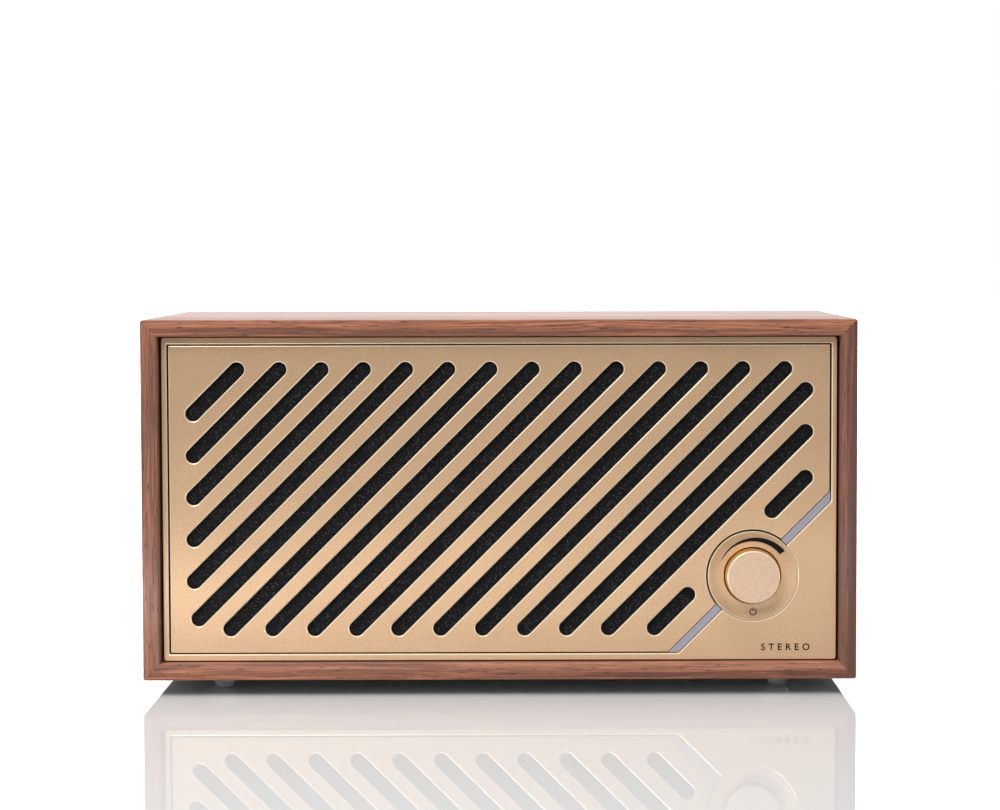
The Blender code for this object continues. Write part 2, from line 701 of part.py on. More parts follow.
def driver(front, side, x):
    """One full-range driver behind the baffle. Its origin is on its axis, at the baffle's back."""
    spot = (x, DRIVER_RAISE, -BAFFLE_BACK)
    paper = finish("cone_paper", (0.03, 0.03, 0.032), 0.8)
    rubber = finish("surround_rubber", (0.02, 0.02, 0.02), 0.7)

    def place(name, section, steps, look, closed=True):
        return put(f"{side}_{name}", turned(section, steps, closed), look, front, spot, smooth=35)

    cone_top = -GAP - PAPER - GAP
    neck = COIL_RADIUS + GAP
    cone_low = cone_top - CONE_DEPTH
    rim_in = CONE_RADIUS - CONE_LIP
    slope = CONE_DEPTH / (rim_in - neck)
    behind = PAPER * 1.5  # the paper's thickness measured along the axis, because the cone leans
    place("surround", surround(), ROUND, rubber)
    cone = [
        (CONE_RADIUS, cone_top),
        (rim_in, cone_top),
        (neck, cone_low),
        (neck, cone_low - behind),
        (rim_in + PAPER, cone_top - behind),
        (CONE_RADIUS, cone_top - PAPER),
    ]
    place("cone", cone, ROUND, paper)

    cap_edge = cone_top - (rim_in - CAP_RADIUS) * slope + (GAP + PAPER) * math.sqrt(1 + slope**2) / 2 + GAP
    ball = (CAP_RADIUS**2 + CAP_RISE**2) / (2 * CAP_RISE)
    half_angle = math.asin(CAP_RADIUS / ball)
    centre = cap_edge + CAP_RISE - ball
    steps = 4
    bends = [half_angle * k / steps for k in range(steps + 1)]
    dome = [(ball * math.sin(b), centre + ball * math.cos(b)) for b in bends]
    shell = [((ball - PAPER) * math.sin(b), centre + (ball - PAPER) * math.cos(b)) for b in reversed(bends)]
    place("dust_cap", dome + shell, ROUND, paper, closed=False)

    coil_top = cone_low + COIL_LAP
    coil_low = coil_top - COIL_LENGTH
    coil = [
        (COIL_RADIUS, coil_top),
        (COIL_RADIUS, coil_low + WINDING_LENGTH),
        (COIL_RADIUS + WINDING, coil_low + WINDING_LENGTH),
        (COIL_RADIUS + WINDING, coil_low),
        (COIL_RADIUS - WINDING, coil_low),
        (COIL_RADIUS - WINDING, coil_top),
    ]
    place("voice_coil", coil, ROUND, finish("copper", (0.7, 0.32, 0.16), 0.35, 1.0))

    seat = cone_low - SPIDER_DROP - STROKE
    place("spider", spider(seat), ROUND, finish("spider_cloth", (0.45, 0.28, 0.08), 0.9))

    flange_top = cone_top
    flange_low = flange_top - FLANGE_THICKNESS
    flange_inner = DRIVER_RADIUS - FLANGE_WIDTH
    seat_outer = SPIDER_RADIUS + GAP
    floor = seat - BASKET_STEP
    basket = [
        (DRIVER_RADIUS, flange_top),
        (DRIVER_RADIUS, flange_low),
        (flange_inner + 2 * BASKET_WALL, flange_low),
        (seat_outer + 2 * BASKET_WALL, seat),
        (TOP_PLATE_RADIUS + BASKET_WALL, floor),
        (COIL_RADIUS + WINDING + COIL_CLEAR, floor),
        (COIL_RADIUS + WINDING + COIL_CLEAR, floor + BASKET_WALL),
        (TOP_PLATE_RADIUS - BASKET_WALL, floor + BASKET_WALL),
        (seat_outer - 3 * BASKET_WALL, seat - BASKET_WALL),
        (seat_outer - 3 * BASKET_WALL, seat),
        (seat_outer + BASKET_WALL / 2, seat),
        (flange_inner, flange_low),
        (flange_inner, flange_top),
    ]
    frame = place("basket", basket, ROUND, steel())
    height = flange_low - seat - 4 * BASKET_WALL
    for turn, name in enumerate(("across", "upright")):
        size = [2 * DRIVER_RADIUS, WINDOW_WIDTH, height]
        if turn:
            size[0], size[1] = size[1], size[0]
        tool = block(size, (0, 0, (flange_low + seat) / 2))
        combine(frame, put(f"cut_{side}_{name}", tool, steel(), front, spot), "DIFFERENCE")

    gap_hole = COIL_RADIUS + WINDING + COIL_CLEAR
    plate_top = floor - GAP
    plate_low = plate_top - TOP_PLATE
    ring = [
        (TOP_PLATE_RADIUS, plate_top),
        (TOP_PLATE_RADIUS, plate_low),
        (gap_hole, plate_low),
        (gap_hole, plate_top),
    ]
    place("top_plate", ring, ROUND, steel())
    magnet_top = plate_low - GAP
    magnet_low = magnet_top - MAGNET_THICKNESS
    ring = [
        (MAGNET_RADIUS, magnet_top),
        (MAGNET_RADIUS, magnet_low),
        (MAGNET_BORE, magnet_low),
        (MAGNET_BORE, magnet_top),
    ]
    place("magnet", ring, ROUND, finish("ferrite", (0.05, 0.05, 0.055), 0.6))
    yoke_top = magnet_low - GAP
    pole = COIL_RADIUS - WINDING - COIL_CLEAR
    yoke = [
        (0, plate_top),
        (pole, plate_top),
        (pole, yoke_top),
        (YOKE_RADIUS, yoke_top),
        (YOKE_RADIUS, yoke_top - YOKE_THICKNESS),
        (0, yoke_top - YOKE_THICKNESS),
    ]
    place("yoke", yoke, ROUND, steel(), closed=False)


def rear_panel(rear):
    """The recessed back, its battens and screws. Seen from behind, x runs to the right."""
    half_x, half_z = INNER_WIDTH / 2 - GAP, INNER_HEIGHT / 2 - GAP
    screw_x, screw_z = half_x - BATTEN / 2, half_z - SCREW_FROM_END
    corners = [(sx * screw_x, sz * screw_z) for sx in (-1, 1) for sz in (-1, 1)]
    holes = [circle(corner, SCREW_RADIUS + SHAKE, SMALL) for corner in corners]
    holes.append(circle((0, PORT_RAISE), PORT_RADIUS + PORT_WALL + GAP, ROUND))
    holes.append(circle((BUTTON_X, SOCKET_Y), BUTTON_RADIUS + GAP, ROUND))
    holes.append(circle((AUX_X, SOCKET_Y), AUX_NECK + GAP, ROUND))
    holes.append(circle((AERIAL_X, SOCKET_Y), AERIAL_BARREL + GAP, ROUND))
    holes.append(rectangle(INLET_SIZE[0] / 2 + GAP, INLET_SIZE[1] / 2 + GAP, (INLET_X, SOCKET_Y)))
    put("rear_panel", plate(rectangle(half_x, half_z), holes, REAR_PANEL), black_plastic(), rear)

    pine = finish("batten_wood", (0.6, 0.45, 0.28), 0.7)
    for name, side in (("rear_batten_right", -1), ("rear_batten_left", 1)):
        pilots = [circle((0, sz * screw_z), SCREW_RADIUS + SHAKE, SMALL) for sz in (-1, 1)]
        bar = plate(rectangle(BATTEN / 2, half_z), pilots, BATTEN)
        put(name, bar, pine, rear, (side * screw_x, 0, -REAR_PANEL - GAP))

    low = GAP + SCREW_HEAD - SCREW_DOME
    bends = (0, RIGHT / 2, RIGHT)
    screw = [
        *[(SCREW_HEAD_RADIUS * math.sin(b), low + SCREW_DOME * math.cos(b)) for b in bends],
        (SCREW_HEAD_RADIUS, GAP),
        (SCREW_RADIUS, GAP),
        (SCREW_RADIUS, -SCREW_LENGTH + SCREW_RADIUS * 2),
        (0, -SCREW_LENGTH),
    ]
    places = ("lower_right", "upper_right", "lower_left", "upper_left")
    for place, corner in zip(places, corners):
        head = turned(screw, SMALL, closed=False)
        put(f"rear_screw_{place}", head, steel(), rear, (*corner, 0), smooth=40)


def bass_port(rear):
    bore, outer = PORT_RADIUS, PORT_RADIUS + PORT_WALL
    face = GAP + FLANGE_ON_PANEL
    flare = arc((bore + PORT_FLARE, face - PORT_FLARE), PORT_FLARE, 2 * RIGHT, RIGHT, 3)
    section = [
        (bore, -PORT_LENGTH),
        *flare,
        (outer + PORT_FLANGE, face),
        (outer + PORT_FLANGE, GAP),
        (outer, GAP),
        (outer, -PORT_LENGTH),
    ]
    put("bass_port", turned(section, ROUND), black_plastic(), rear, (0, PORT_RAISE, 0), smooth=40)


def sockets(rear):
    """The button and the sockets. Each goes through the panel and ends at the main board."""
    inside = -REAR_PANEL - GAP
    board = -MAIN_BOARD_BACK + GAP
    aux_face = GAP + AUX_COLLAR
    aux = [
        (0, board + AUX_FLOOR),
        (AUX_BORE, board + AUX_FLOOR),
        (AUX_BORE, aux_face),
        (AUX_RADIUS, aux_face),
        (AUX_RADIUS, GAP),
        (AUX_NECK, GAP),
        (AUX_NECK, inside),
        (AUX_BODY, inside),
        (AUX_BODY, board),
        (0, board),
    ]
    jack = turned(aux, ROUND, closed=False)
    put("aux_jack", jack, black_plastic(), rear, (AUX_X, SOCKET_Y, 0), smooth=40)

    aerial = [
        (0, AERIAL_PROUD - AERIAL_BORE_DEPTH),
        (AERIAL_BORE, AERIAL_PROUD - AERIAL_BORE_DEPTH),
        (AERIAL_BORE, AERIAL_PROUD),
        (AERIAL_BARREL, AERIAL_PROUD),
        (AERIAL_BARREL, GAP + AERIAL_NUT_THICKNESS),
        (AERIAL_NUT, GAP + AERIAL_NUT_THICKNESS),
        (AERIAL_NUT, GAP),
        (AERIAL_BARREL, GAP),
        (AERIAL_BARREL, inside),
        (AERIAL_BODY, inside),
        (AERIAL_BODY, board),
        (0, board),
    ]
    socket = turned(aerial, ROUND, closed=False)
    put("aerial_socket", socket, steel(), rear, (AERIAL_X, SOCKET_Y, 0), smooth=40)

    stem = SWITCH[2] + GAP + BUTTON_TRAVEL - MAIN_BOARD_BACK
    button = [
        (0, BUTTON_PROUD),
        (BUTTON_RADIUS - BUTTON_EDGE, BUTTON_PROUD),
        (BUTTON_RADIUS, BUTTON_PROUD - BUTTON_EDGE),
        (BUTTON_RADIUS, inside),
        (BUTTON_RADIUS + BUTTON_SHOULDER, inside),
        (BUTTON_RADIUS + BUTTON_SHOULDER, inside - BUTTON_SHOULDER_THICKNESS),
        (BUTTON_STEM, inside - BUTTON_SHOULDER_THICKNESS),
        (BUTTON_STEM, stem),
        (0, stem),
    ]
    look = finish("button_grey", (0.12, 0.12, 0.125), 0.5)
    cap = turned(button, ROUND, closed=False)
    put("source_button", cap, look, rear, (BUTTON_X, SOCKET_Y, 0), smooth=40)


def mains_inlet(rear):
    """A two-pin inlet: a lipped block, hollowed out, with its pins standing in the hollow."""
    spot = (INLET_X, SOCKET_Y, 0)
    face = GAP + FLANGE_ON_PANEL
    lip = rectangle(INLET_SIZE[0] / 2 + INLET_LIP, INLET_SIZE[1] / 2 + INLET_LIP)
    inlet = put("mains_inlet", plate(lip, (), FLANGE_ON_PANEL), black_plastic(), rear)
    inlet.location = (INLET_X, SOCKET_Y, face)
    body_top = face - FLANGE_ON_PANEL / 2
    body = block((*INLET_SIZE, INLET_LENGTH), (0, 0, body_top - INLET_LENGTH / 2))
    combine(inlet, put("join_inlet_body", body, black_plastic(), rear, spot), "UNION")
    ends = ((-CAVITY_HALF_SPAN, 0), (CAVITY_HALF_SPAN, 0))
    socket = plate(slot_outline(*ends, 2 * CAVITY_RADIUS), (), CAVITY_DEPTH + CUT_PAST)
    hollow = put("cut_inlet_hollow", socket, steel(), rear)
    hollow.location = (INLET_X, SOCKET_Y, face + CUT_PAST)
    combine(inlet, hollow, "DIFFERENCE")
    bottom = face - CAVITY_DEPTH
    pin = [
        (0, bottom + PIN_LENGTH),
        (PIN_RADIUS, bottom + PIN_LENGTH - PIN_RADIUS / 2),
        (PIN_RADIUS, bottom - PIN_ROOT),
        (0, bottom - PIN_ROOT),
    ]
    for name, side in (("join_pin_left", -1), ("join_pin_right", 1)):
        place = (INLET_X + side * PIN_SPACING / 2, SOCKET_Y, 0)
        combine(inlet, put(name, turned(pin, SMALL, closed=False), steel(), rear, place), "UNION")


def boards(rear):
    """The main board behind the sockets and the power board behind the mains inlet."""
    outline = rectangle(MAIN_BOARD[0] / 2, MAIN_BOARD[1] / 2)
    spot = (MAIN_BOARD_X, BOARD_Y, -MAIN_BOARD_BACK)
    board = put("main_board", plate(outline, (), BOARD_THICKNESS), circuit_board(), rear, spot)
    switch = put("join_switch", block(SWITCH, (0, 0, SWITCH[2] / 2 - SOLDER)), black_plastic(), rear)
    switch.location = (BUTTON_X, SOCKET_Y, -MAIN_BOARD_BACK)
    combine(board, switch, "UNION")
    chip = put("join_amplifier", block(AMPLIFIER, (0, 0, SOLDER - AMPLIFIER[2] / 2)), black_plastic(), rear)
    board_front = -MAIN_BOARD_BACK - BOARD_THICKNESS
    chip.location = (MAIN_BOARD_X + AMPLIFIER_PLACE[0], BOARD_Y + AMPLIFIER_PLACE[1], board_front)
    combine(board, chip, "UNION")
    can = put("radio_module", block(MODULE, (0, 0, -MODULE[2] / 2)), steel(), rear)
    can.location = (MAIN_BOARD_X + MODULE_PLACE[0], BOARD_Y + MODULE_PLACE[1], board_front - GAP)

    power_depth = INLET_LENGTH + INLET_CLEAR
    outline = rectangle(POWER_BOARD[0] / 2, POWER_BOARD[1] / 2)
    x = INLET_X - POWER_BOARD_SHIFT
    power = plate(outline, (), BOARD_THICKNESS)
    put("power_board", power, circuit_board(), rear, (x, BOARD_Y, -power_depth))
    power_front = -power_depth - BOARD_THICKNESS - GAP
    core = block(TRANSFORMER, (0, 0, -TRANSFORMER[2] / 2))
    yellow = finish("transformer_tape", (0.7, 0.5, 0.08), 0.5)
    put("transformer", core, yellow, rear, (x + POWER_PART_SHIFT, BOARD_Y, power_front))
    can = [
        (0, 0),
        (CAPACITOR_RADIUS, 0),
        (CAPACITOR_RADIUS, -CAPACITOR_LENGTH),
        (0, -CAPACITOR_LENGTH),
    ]
    blue = finish("capacitor_sleeve", (0.03, 0.05, 0.2), 0.4)
    capacitor = turned(can, ROUND, closed=False)
    spot = (x - POWER_PART_SHIFT, BOARD_Y, power_front)
    put("smoothing_capacitor", capacitor, blue, rear, spot, smooth=40)


def foil_aerial():
    top = MIDDLE_Z + INNER_HEIGHT / 2 - GAP
    foil = block(AERIAL_STRIP, (0, CABINET_DEPTH / 6, top - AERIAL_STRIP[2] / 2))
    put("foil_aerial", foil, finish("copper", (0.7, 0.32, 0.16), 0.35, 1.0))


def main():
    clear_scene()
    front = station("front", (0, FRONT_Y, MIDDLE_Z), (RIGHT, 0, 0))
    rear = station("rear", (0, FRONT_Y + REAR_DEPTH, MIDDLE_Z), (RIGHT, 0, math.pi))
    cabinet()
    feet()
    front_trim(front)
    light_bar(front)
    dial(front)
    encoder(front)
    baffle(front)
    driver(front, "left", -DRIVER_X)
    driver(front, "right", DRIVER_X)
    rear_panel(rear)
    bass_port(rear)
    sockets(rear)
    mains_inlet(rear)
    boards(rear)
    foil_aerial()


main()
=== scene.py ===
"""The looks of a tabletop radio: a mitred walnut cabinet, a gold slotted grille, a dial and a light bar.

Everything is in metres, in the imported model's frame: the front faces -Y and +Z is up.
Each operator makes one piece, or one group of like pieces, in the place of its plain solids.
"""

import math

import bmesh
import bpy
from mathutils import Matrix, Vector


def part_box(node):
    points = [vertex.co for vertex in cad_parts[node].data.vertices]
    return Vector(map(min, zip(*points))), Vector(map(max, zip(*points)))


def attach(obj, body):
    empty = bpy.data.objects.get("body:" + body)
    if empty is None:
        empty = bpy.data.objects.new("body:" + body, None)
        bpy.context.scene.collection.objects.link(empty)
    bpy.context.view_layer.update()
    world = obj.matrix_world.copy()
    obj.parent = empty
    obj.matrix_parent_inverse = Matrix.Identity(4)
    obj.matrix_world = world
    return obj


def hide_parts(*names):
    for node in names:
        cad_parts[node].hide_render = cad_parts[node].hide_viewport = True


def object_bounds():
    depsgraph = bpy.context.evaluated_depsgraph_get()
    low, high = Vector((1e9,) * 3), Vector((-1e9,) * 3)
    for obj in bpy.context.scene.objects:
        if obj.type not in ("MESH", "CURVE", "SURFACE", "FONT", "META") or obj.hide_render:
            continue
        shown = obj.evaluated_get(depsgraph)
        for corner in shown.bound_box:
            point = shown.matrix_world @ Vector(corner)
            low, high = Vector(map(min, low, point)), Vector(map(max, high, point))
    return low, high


bl_info = {
    "name": "Tabletop Radio",
    "version": (1, 0, 0),
    "blender": (4, 5, 0),
    "location": "View3D > Sidebar > Radio",
    "description": "Makes a tabletop radio's visible pieces, finishes and studio round its packed model",
    "category": "Add Mesh",
}

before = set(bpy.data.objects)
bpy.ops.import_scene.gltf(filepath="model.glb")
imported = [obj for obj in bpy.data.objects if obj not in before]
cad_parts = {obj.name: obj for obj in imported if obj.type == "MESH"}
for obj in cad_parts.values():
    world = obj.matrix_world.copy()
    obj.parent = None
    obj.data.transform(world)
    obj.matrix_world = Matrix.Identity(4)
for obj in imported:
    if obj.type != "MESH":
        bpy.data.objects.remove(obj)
CAD_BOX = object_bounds()

MM = 0.001
RIGHT = math.pi / 2
ROOT2 = math.sqrt(2)
CUT_PAST = 2 * MM  # how far a cutter reaches past the face it opens
FINE = 128  # segments round the dial
ROUND = 64  # segments round other visible pieces
NEARLY_ALONG = 0.9  # a unit vector's share that counts as along an axis
PANEL_GAP = 0.2 * MM * ROOT2  # between the light bar and its neighbours, along the front
SEAT_GAP = 0.3 * MM  # between the back panel and what sits on it
PORT_OUTER = 14.8 * MM
BUTTON_RADIUS = 3.5 * MM
JACK_NECK = 3.2 * MM
AERIAL_BARREL = 4.75 * MM
INLET_HALF = (10.5 * MM, 6.25 * MM)


def middle(node):
    low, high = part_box(node)
    return (low + high) / 2


# Places read from the frame.
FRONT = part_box("cabinet_top")[0].y
CENTRE_Z = (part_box("cabinet_top")[1].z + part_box("cabinet_bottom")[0].z) / 2
PLATE_LOW, PLATE_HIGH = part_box("grille_plate")
BEZEL_LOW, BEZEL_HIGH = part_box("front_bezel")
FACE = PLATE_LOW.y  # the grille plate's and the bezel's front
PLATE_HALF_X = PLATE_HIGH.x
PLATE_HALF_Z = PLATE_HIGH.z - CENTRE_Z
DIAL = middle("dial_ring")
RING_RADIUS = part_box("dial_ring")[1].x - DIAL.x
KNOB_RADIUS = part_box("volume_knob")[1].x - DIAL.x
KNOB_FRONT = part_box("volume_knob")[0].y
KNOB_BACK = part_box("volume_knob")[1].y
BAR_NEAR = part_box("light_bar_lower")[0].x - (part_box("light_bar_lower")[0].z - CENTRE_Z)
PANEL_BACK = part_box("rear_panel")[1].y
PANEL_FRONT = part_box("rear_panel")[0].y
SEAT = PANEL_BACK + SEAT_GAP
INSIDE = PANEL_FRONT - SEAT_GAP
DIAL_SPOT = (DIAL.x, DIAL.z)


def length(name, description, default):
    """A length in metres."""
    return bpy.props.FloatProperty(name=name, description=description, default=default, unit="LENGTH")


def tint(name, description, default):
    """A colour."""
    return bpy.props.FloatVectorProperty(name=name, description=description, default=default, subtype="COLOR")


class RadioSizes(bpy.types.PropertyGroup):
    """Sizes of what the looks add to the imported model."""

    arris: length("Board arris", "Rounding along a board's long edges", 0.55 * MM)
    mitre_line: length("Mitre line", "Width of the line at each mitre", 0.02 * MM)
    # Width of the eased edges that carry a painted highlight on the gold pieces.
    gold_edge: length("Gold edge", "Width of the bright edge on the gold pieces", 0.42 * MM)
    rim: length("Bezel rim", "Width of the bezel at the sides", 2.05 * MM)
    rim_top: length("Bezel rim, top", "Width of the bezel at the top and bottom", 2.6 * MM)
    slot_width: length("Slot width", "Width of a grille slot", 5.9 * MM)
    slot_pitch: length("Slot pitch", "Between slots, along the top edge", 16.35 * MM)
    bar_width: length("Light bar", "Width of the light bar", 2.85 * MM)
    word_height: length("Word height", "Height of the capitals on the corner panel", 2.7 * MM)


class RadioColours(bpy.types.PropertyGroup):
    """The colours that a user would change."""

    walnut_light: tint("Walnut, light", "The palest figure of the walnut", (0.64, 0.25, 0.13))
    walnut_dark: tint("Walnut, dark", "The darkest streaks of the walnut", (0.16, 0.058, 0.040))
    gold: tint("Gold paint", "Paint of the grille and the bezel", (0.64, 0.42, 0.25))
    # Painted highlight: a cream paler than the gold paint on the eased edges, standing in for the light that
    # they catch.
    gold_edge: tint("Gold edge", "The polished edges of the gold pieces", (1.0, 0.80, 0.56))
    cloth: tint("Speaker cloth", "Threads of the speaker cloth", (0.011, 0.010, 0.012))
    light_bar: tint("Light bar", "The unlit diffuser", (0.38, 0.355, 0.43))
    plastic: tint("Back", "Moulded plastic of the back", (0.020, 0.020, 0.022))
    floor: tint("Floor", "The studio floor", (0.93, 0.93, 0.93))


def sizes():
    return bpy.context.scene.radio_sizes


def colours():
    return bpy.context.scene.radio_colours


# Modelling by hand: each helper starts in object mode with nothing selected.


def fresh():
    """Object mode, nothing selected."""
    if bpy.context.object and bpy.context.object.mode != "OBJECT":
        bpy.ops.object.mode_set(mode="OBJECT")
    bpy.ops.object.select_all(action="DESELECT")


def solo(piece):
    fresh()
    piece.select_set(True)
    bpy.context.view_layer.objects.active = piece


def named(name):
    piece = bpy.context.object
    piece.name = name
    piece.data.name = name
    bpy.ops.object.transform_apply(location=True, rotation=True, scale=True)
    return piece


def block(name, low, high):
    """A box between two corners."""
    low, high = Vector(low), Vector(high)
    fresh()
    bpy.ops.mesh.primitive_cube_add(size=1, location=(low + high) / 2)
    bpy.context.object.scale = high - low
    return named(name)


def rod(name, centre, radius, low, high, steps=ROUND, turn=0.0):
    """A cylinder along Y from low to high."""
    fresh()
    bpy.ops.mesh.primitive_cylinder_add(
        vertices=steps,
        radius=radius,
        depth=high - low,
        location=(centre[0], (low + high) / 2, centre[1]),
        rotation=(RIGHT, turn, 0),
    )
    return named(name)


def pick(piece, wanted, kind="verts"):
    """In edit mode, selects the vertices, edges or faces that wanted() says yes to."""
    solo(piece)
    bpy.ops.object.mode_set(mode="EDIT")
    bpy.ops.mesh.select_mode(type={"verts": "VERT", "edges": "EDGE", "faces": "FACE"}[kind])
    bpy.ops.mesh.select_all(action="DESELECT")
    bm = bmesh.from_edit_mesh(piece.data)
    for item in getattr(bm, kind):
        if wanted(item):
            item.select_set(True)
    bmesh.update_edit_mesh(piece.data)


def slice_off(piece, point, normal):
    """Cuts a piece along a plane, closes the cut and drops what is on the normal's side."""
    solo(piece)
    bpy.ops.object.mode_set(mode="EDIT")
    bpy.ops.mesh.select_all(action="SELECT")
    bpy.ops.mesh.bisect(plane_co=point, plane_no=normal, use_fill=True, clear_outer=True)
    bpy.ops.object.mode_set(mode="OBJECT")


def combine(piece, tools, operation="DIFFERENCE"):
    """Cuts the tools out of a piece, or joins them on, one after the other."""
    for tool in tools:
        solo(piece)
        step = piece.modifiers.new("combine", "BOOLEAN")
        step.operation = operation
        step.object = tool
        bpy.ops.object.modifier_apply(modifier=step.name)
        bpy.data.objects.remove(tool)
    return piece


def joined(pieces):
    """Several pieces as one object."""
    solo(pieces[0])
    for piece in pieces[1:]:
        piece.select_set(True)
    bpy.ops.object.join()
    return bpy.context.object


def ease(piece, width, segments=2, angle=40, edge_slot=0):
    """Rounds a piece's sharp edges, and gives the rounded faces their own material slot."""
    solo(piece)
    while len(piece.data.materials) <= edge_slot:
        piece.data.materials.append(None)
    step = piece.modifiers.new("ease", "BEVEL")
    step.width = width
    step.segments = segments
    step.limit_method = "ANGLE"
    step.angle_limit = math.radians(angle)
    step.material = edge_slot
    step.use_clamp_overlap = False
    bpy.ops.object.modifier_apply(modifier=step.name)
    return piece


def smooth(piece, angle=35):
    solo(piece)
    bpy.ops.object.shade_smooth_by_angle(angle=math.radians(angle))
    return piece


def turned(name, centre, profile, steps=ROUND, ring=False, upright=False):
    """A piece turned about a line along Y, or along Z if upright, from (radius, place along it) points.

    A ring's profile closes on itself. Any other profile starts and ends with a flat face.
    """
    along = Vector((0, 0, 1)) if upright else Vector((0, 1, 0))
    widen = (1, 1, 0) if upright else (1, 0, 1)
    base = Vector((centre[0], centre[1], 0)) if upright else Vector((centre[0], 0, centre[1]))
    radius, place = profile[0]
    fresh()
    bpy.ops.mesh.primitive_circle_add(
        vertices=steps,
        radius=radius,
        fill_type="NOTHING" if ring else "NGON",
        location=base + along * place,
        rotation=(0, 0, 0) if upright else (RIGHT, 0, 0),
    )
    piece = named(name)
    bpy.ops.object.mode_set(mode="EDIT")
    bpy.ops.mesh.select_all(action="SELECT")
    for next_radius, next_place in profile[1:] + (profile[:1] if ring else []):
        move = along * (next_place - place)
        bpy.ops.mesh.extrude_region_move(TRANSFORM_OT_translate={"value": move})
        if next_radius != radius:
            share = next_radius / radius
            scale = [share if wide else 1 for wide in widen]
            bpy.ops.transform.resize(value=scale, center_override=base + along * next_place)
        radius, place = next_radius, next_place
    bpy.ops.mesh.select_all(action="SELECT")
    bpy.ops.mesh.remove_doubles(threshold=0.002 * MM)
    bpy.ops.mesh.normals_make_consistent(inside=False)
    bpy.ops.object.mode_set(mode="OBJECT")
    return piece


def rounded_edge(radius, face, edge, steps=3, outward=-1):
    """(radius, y) points from a turned piece's side round its edge to its face, which looks outward."""
    bends = [RIGHT * k / steps for k in range(1, steps + 1)]
    return [(radius - edge + edge * math.cos(b), face - outward * (edge - edge * math.sin(b))) for b in bends]


def upright_edge(edge):
    """Whether an edge runs along Y."""
    start, end = (v.co for v in edge.verts)
    return abs((end - start).normalized().y) > NEARLY_ALONG


def round_corners(piece, radius, segments):
    """Rounds a plate's four corners, as seen from the front."""
    pick(piece, upright_edge, "edges")
    bpy.ops.mesh.bevel(offset=radius, segments=segments, affect="EDGES")
    bpy.ops.object.mode_set(mode="OBJECT")


def slab(name, spot, half_x, half_z, front, back):
    """A box centred on a spot of the front or the back."""
    low = (spot[0] - half_x, front, spot[1] - half_z)
    return block(name, low, (spot[0] + half_x, back, spot[1] + half_z))


def facing(node):
    """The middle of a node as (x, z), where a turned piece or a hole is centred."""
    spot = middle(node)
    return (spot.x, spot.z)


def paint(piece, slot, wanted):
    """Gives the faces that wanted() says yes to the material of one slot."""
    for polygon in piece.data.polygons:
        if wanted(polygon):
            polygon.material_index = slot


def deliver(piece, body, nodes, slot, *looks):
    """Gives a finished piece its materials and its body, and hides the nodes that it stands for; the slot is
    not used.
    """
    for k, look in enumerate(looks):
        if k < len(piece.data.materials):
            piece.data.materials[k] = look
        else:
            piece.data.materials.append(look)
    solo(piece)
    bpy.ops.object.mode_set(mode="EDIT")
    bpy.ops.mesh.select_all(action="SELECT")
    bpy.ops.mesh.normals_make_consistent(inside=False)
    bpy.ops.object.mode_set(mode="OBJECT")
    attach(piece, body)
    if nodes:
        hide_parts(*nodes)
    return piece


# Materials.


def add(tree, kind, inputs=None, **settings):
    """A shader node: an input takes a value, or another node's output."""
    made = tree.nodes.new("ShaderNode" + kind)
    for name, value in settings.items():
        setattr(made, name, value)
    for socket, value in (inputs or {}).items():
        if isinstance(value, bpy.types.NodeSocket):
            tree.links.new(value, made.inputs[socket])
        else:
            made.inputs[socket].default_value = value
    return made


def mixed(tree, share, first, second, mode="MIX"):
    """The output of a colour mix."""
    made = tree.nodes.new("ShaderNodeMix")
    made.data_type = "RGBA"
    made.blend_type = mode
    for socket, value in ((made.inputs[0], share), (made.inputs[6], first), (made.inputs[7], second)):
        if isinstance(value, bpy.types.NodeSocket):
            tree.links.new(value, socket)
        elif socket == made.inputs[0]:
            socket.default_value = value
        else:
            socket.default_value = (*value[:3], 1)
    return made.outputs[2]


def sums(tree, operation, first, second=0.0):
    return add(tree, "Math", {0: first, 1: second}, operation=operation).outputs[0]


def vectors(tree, operation, first, second):
    return add(tree, "VectorMath", {0: first, 1: second}, operation=operation).outputs[0]


def spread(tree, value, low, high, out_low=0.0, out_high=1.0):
    """A value between low and high, as a share between two others."""
    inputs = {"Value": value, "From Min": low, "From Max": high, "To Min": out_low, "To Max": out_high}
    return add(tree, "MapRange", inputs).outputs["Result"]


def noise(tree, vector, scale, detail=2.0, rough=0.5):
    inputs = {"Vector": vector, "Scale": scale, "Detail": detail, "Roughness": rough}
    return add(tree, "TexNoise", inputs).outputs["Fac"]


def stretched(tree, vector, scale):
    return add(tree, "Mapping", {"Vector": vector, "Scale": scale}).outputs["Vector"]


def node_group(name, inputs):
    """A group from a vector and named inputs to a colour, a roughness and a height, and its end sockets."""
    tree = bpy.data.node_groups.new(name, "ShaderNodeTree")
    tree.interface.new_socket("Vector", in_out="INPUT", socket_type="NodeSocketVector")
    for label, value in inputs.items():
        kind = "NodeSocketColor" if isinstance(value, tuple) else "NodeSocketFloat"
        tree.interface.new_socket(label, in_out="INPUT", socket_type=kind).default_value = value
    tree.interface.new_socket("Color", in_out="OUTPUT", socket_type="NodeSocketColor")
    for label in ("Roughness", "Height"):
        tree.interface.new_socket(label, in_out="OUTPUT", socket_type="NodeSocketFloat")
    return tree, tree.nodes.new("NodeGroupInput").outputs, tree.nodes.new("NodeGroupOutput").inputs


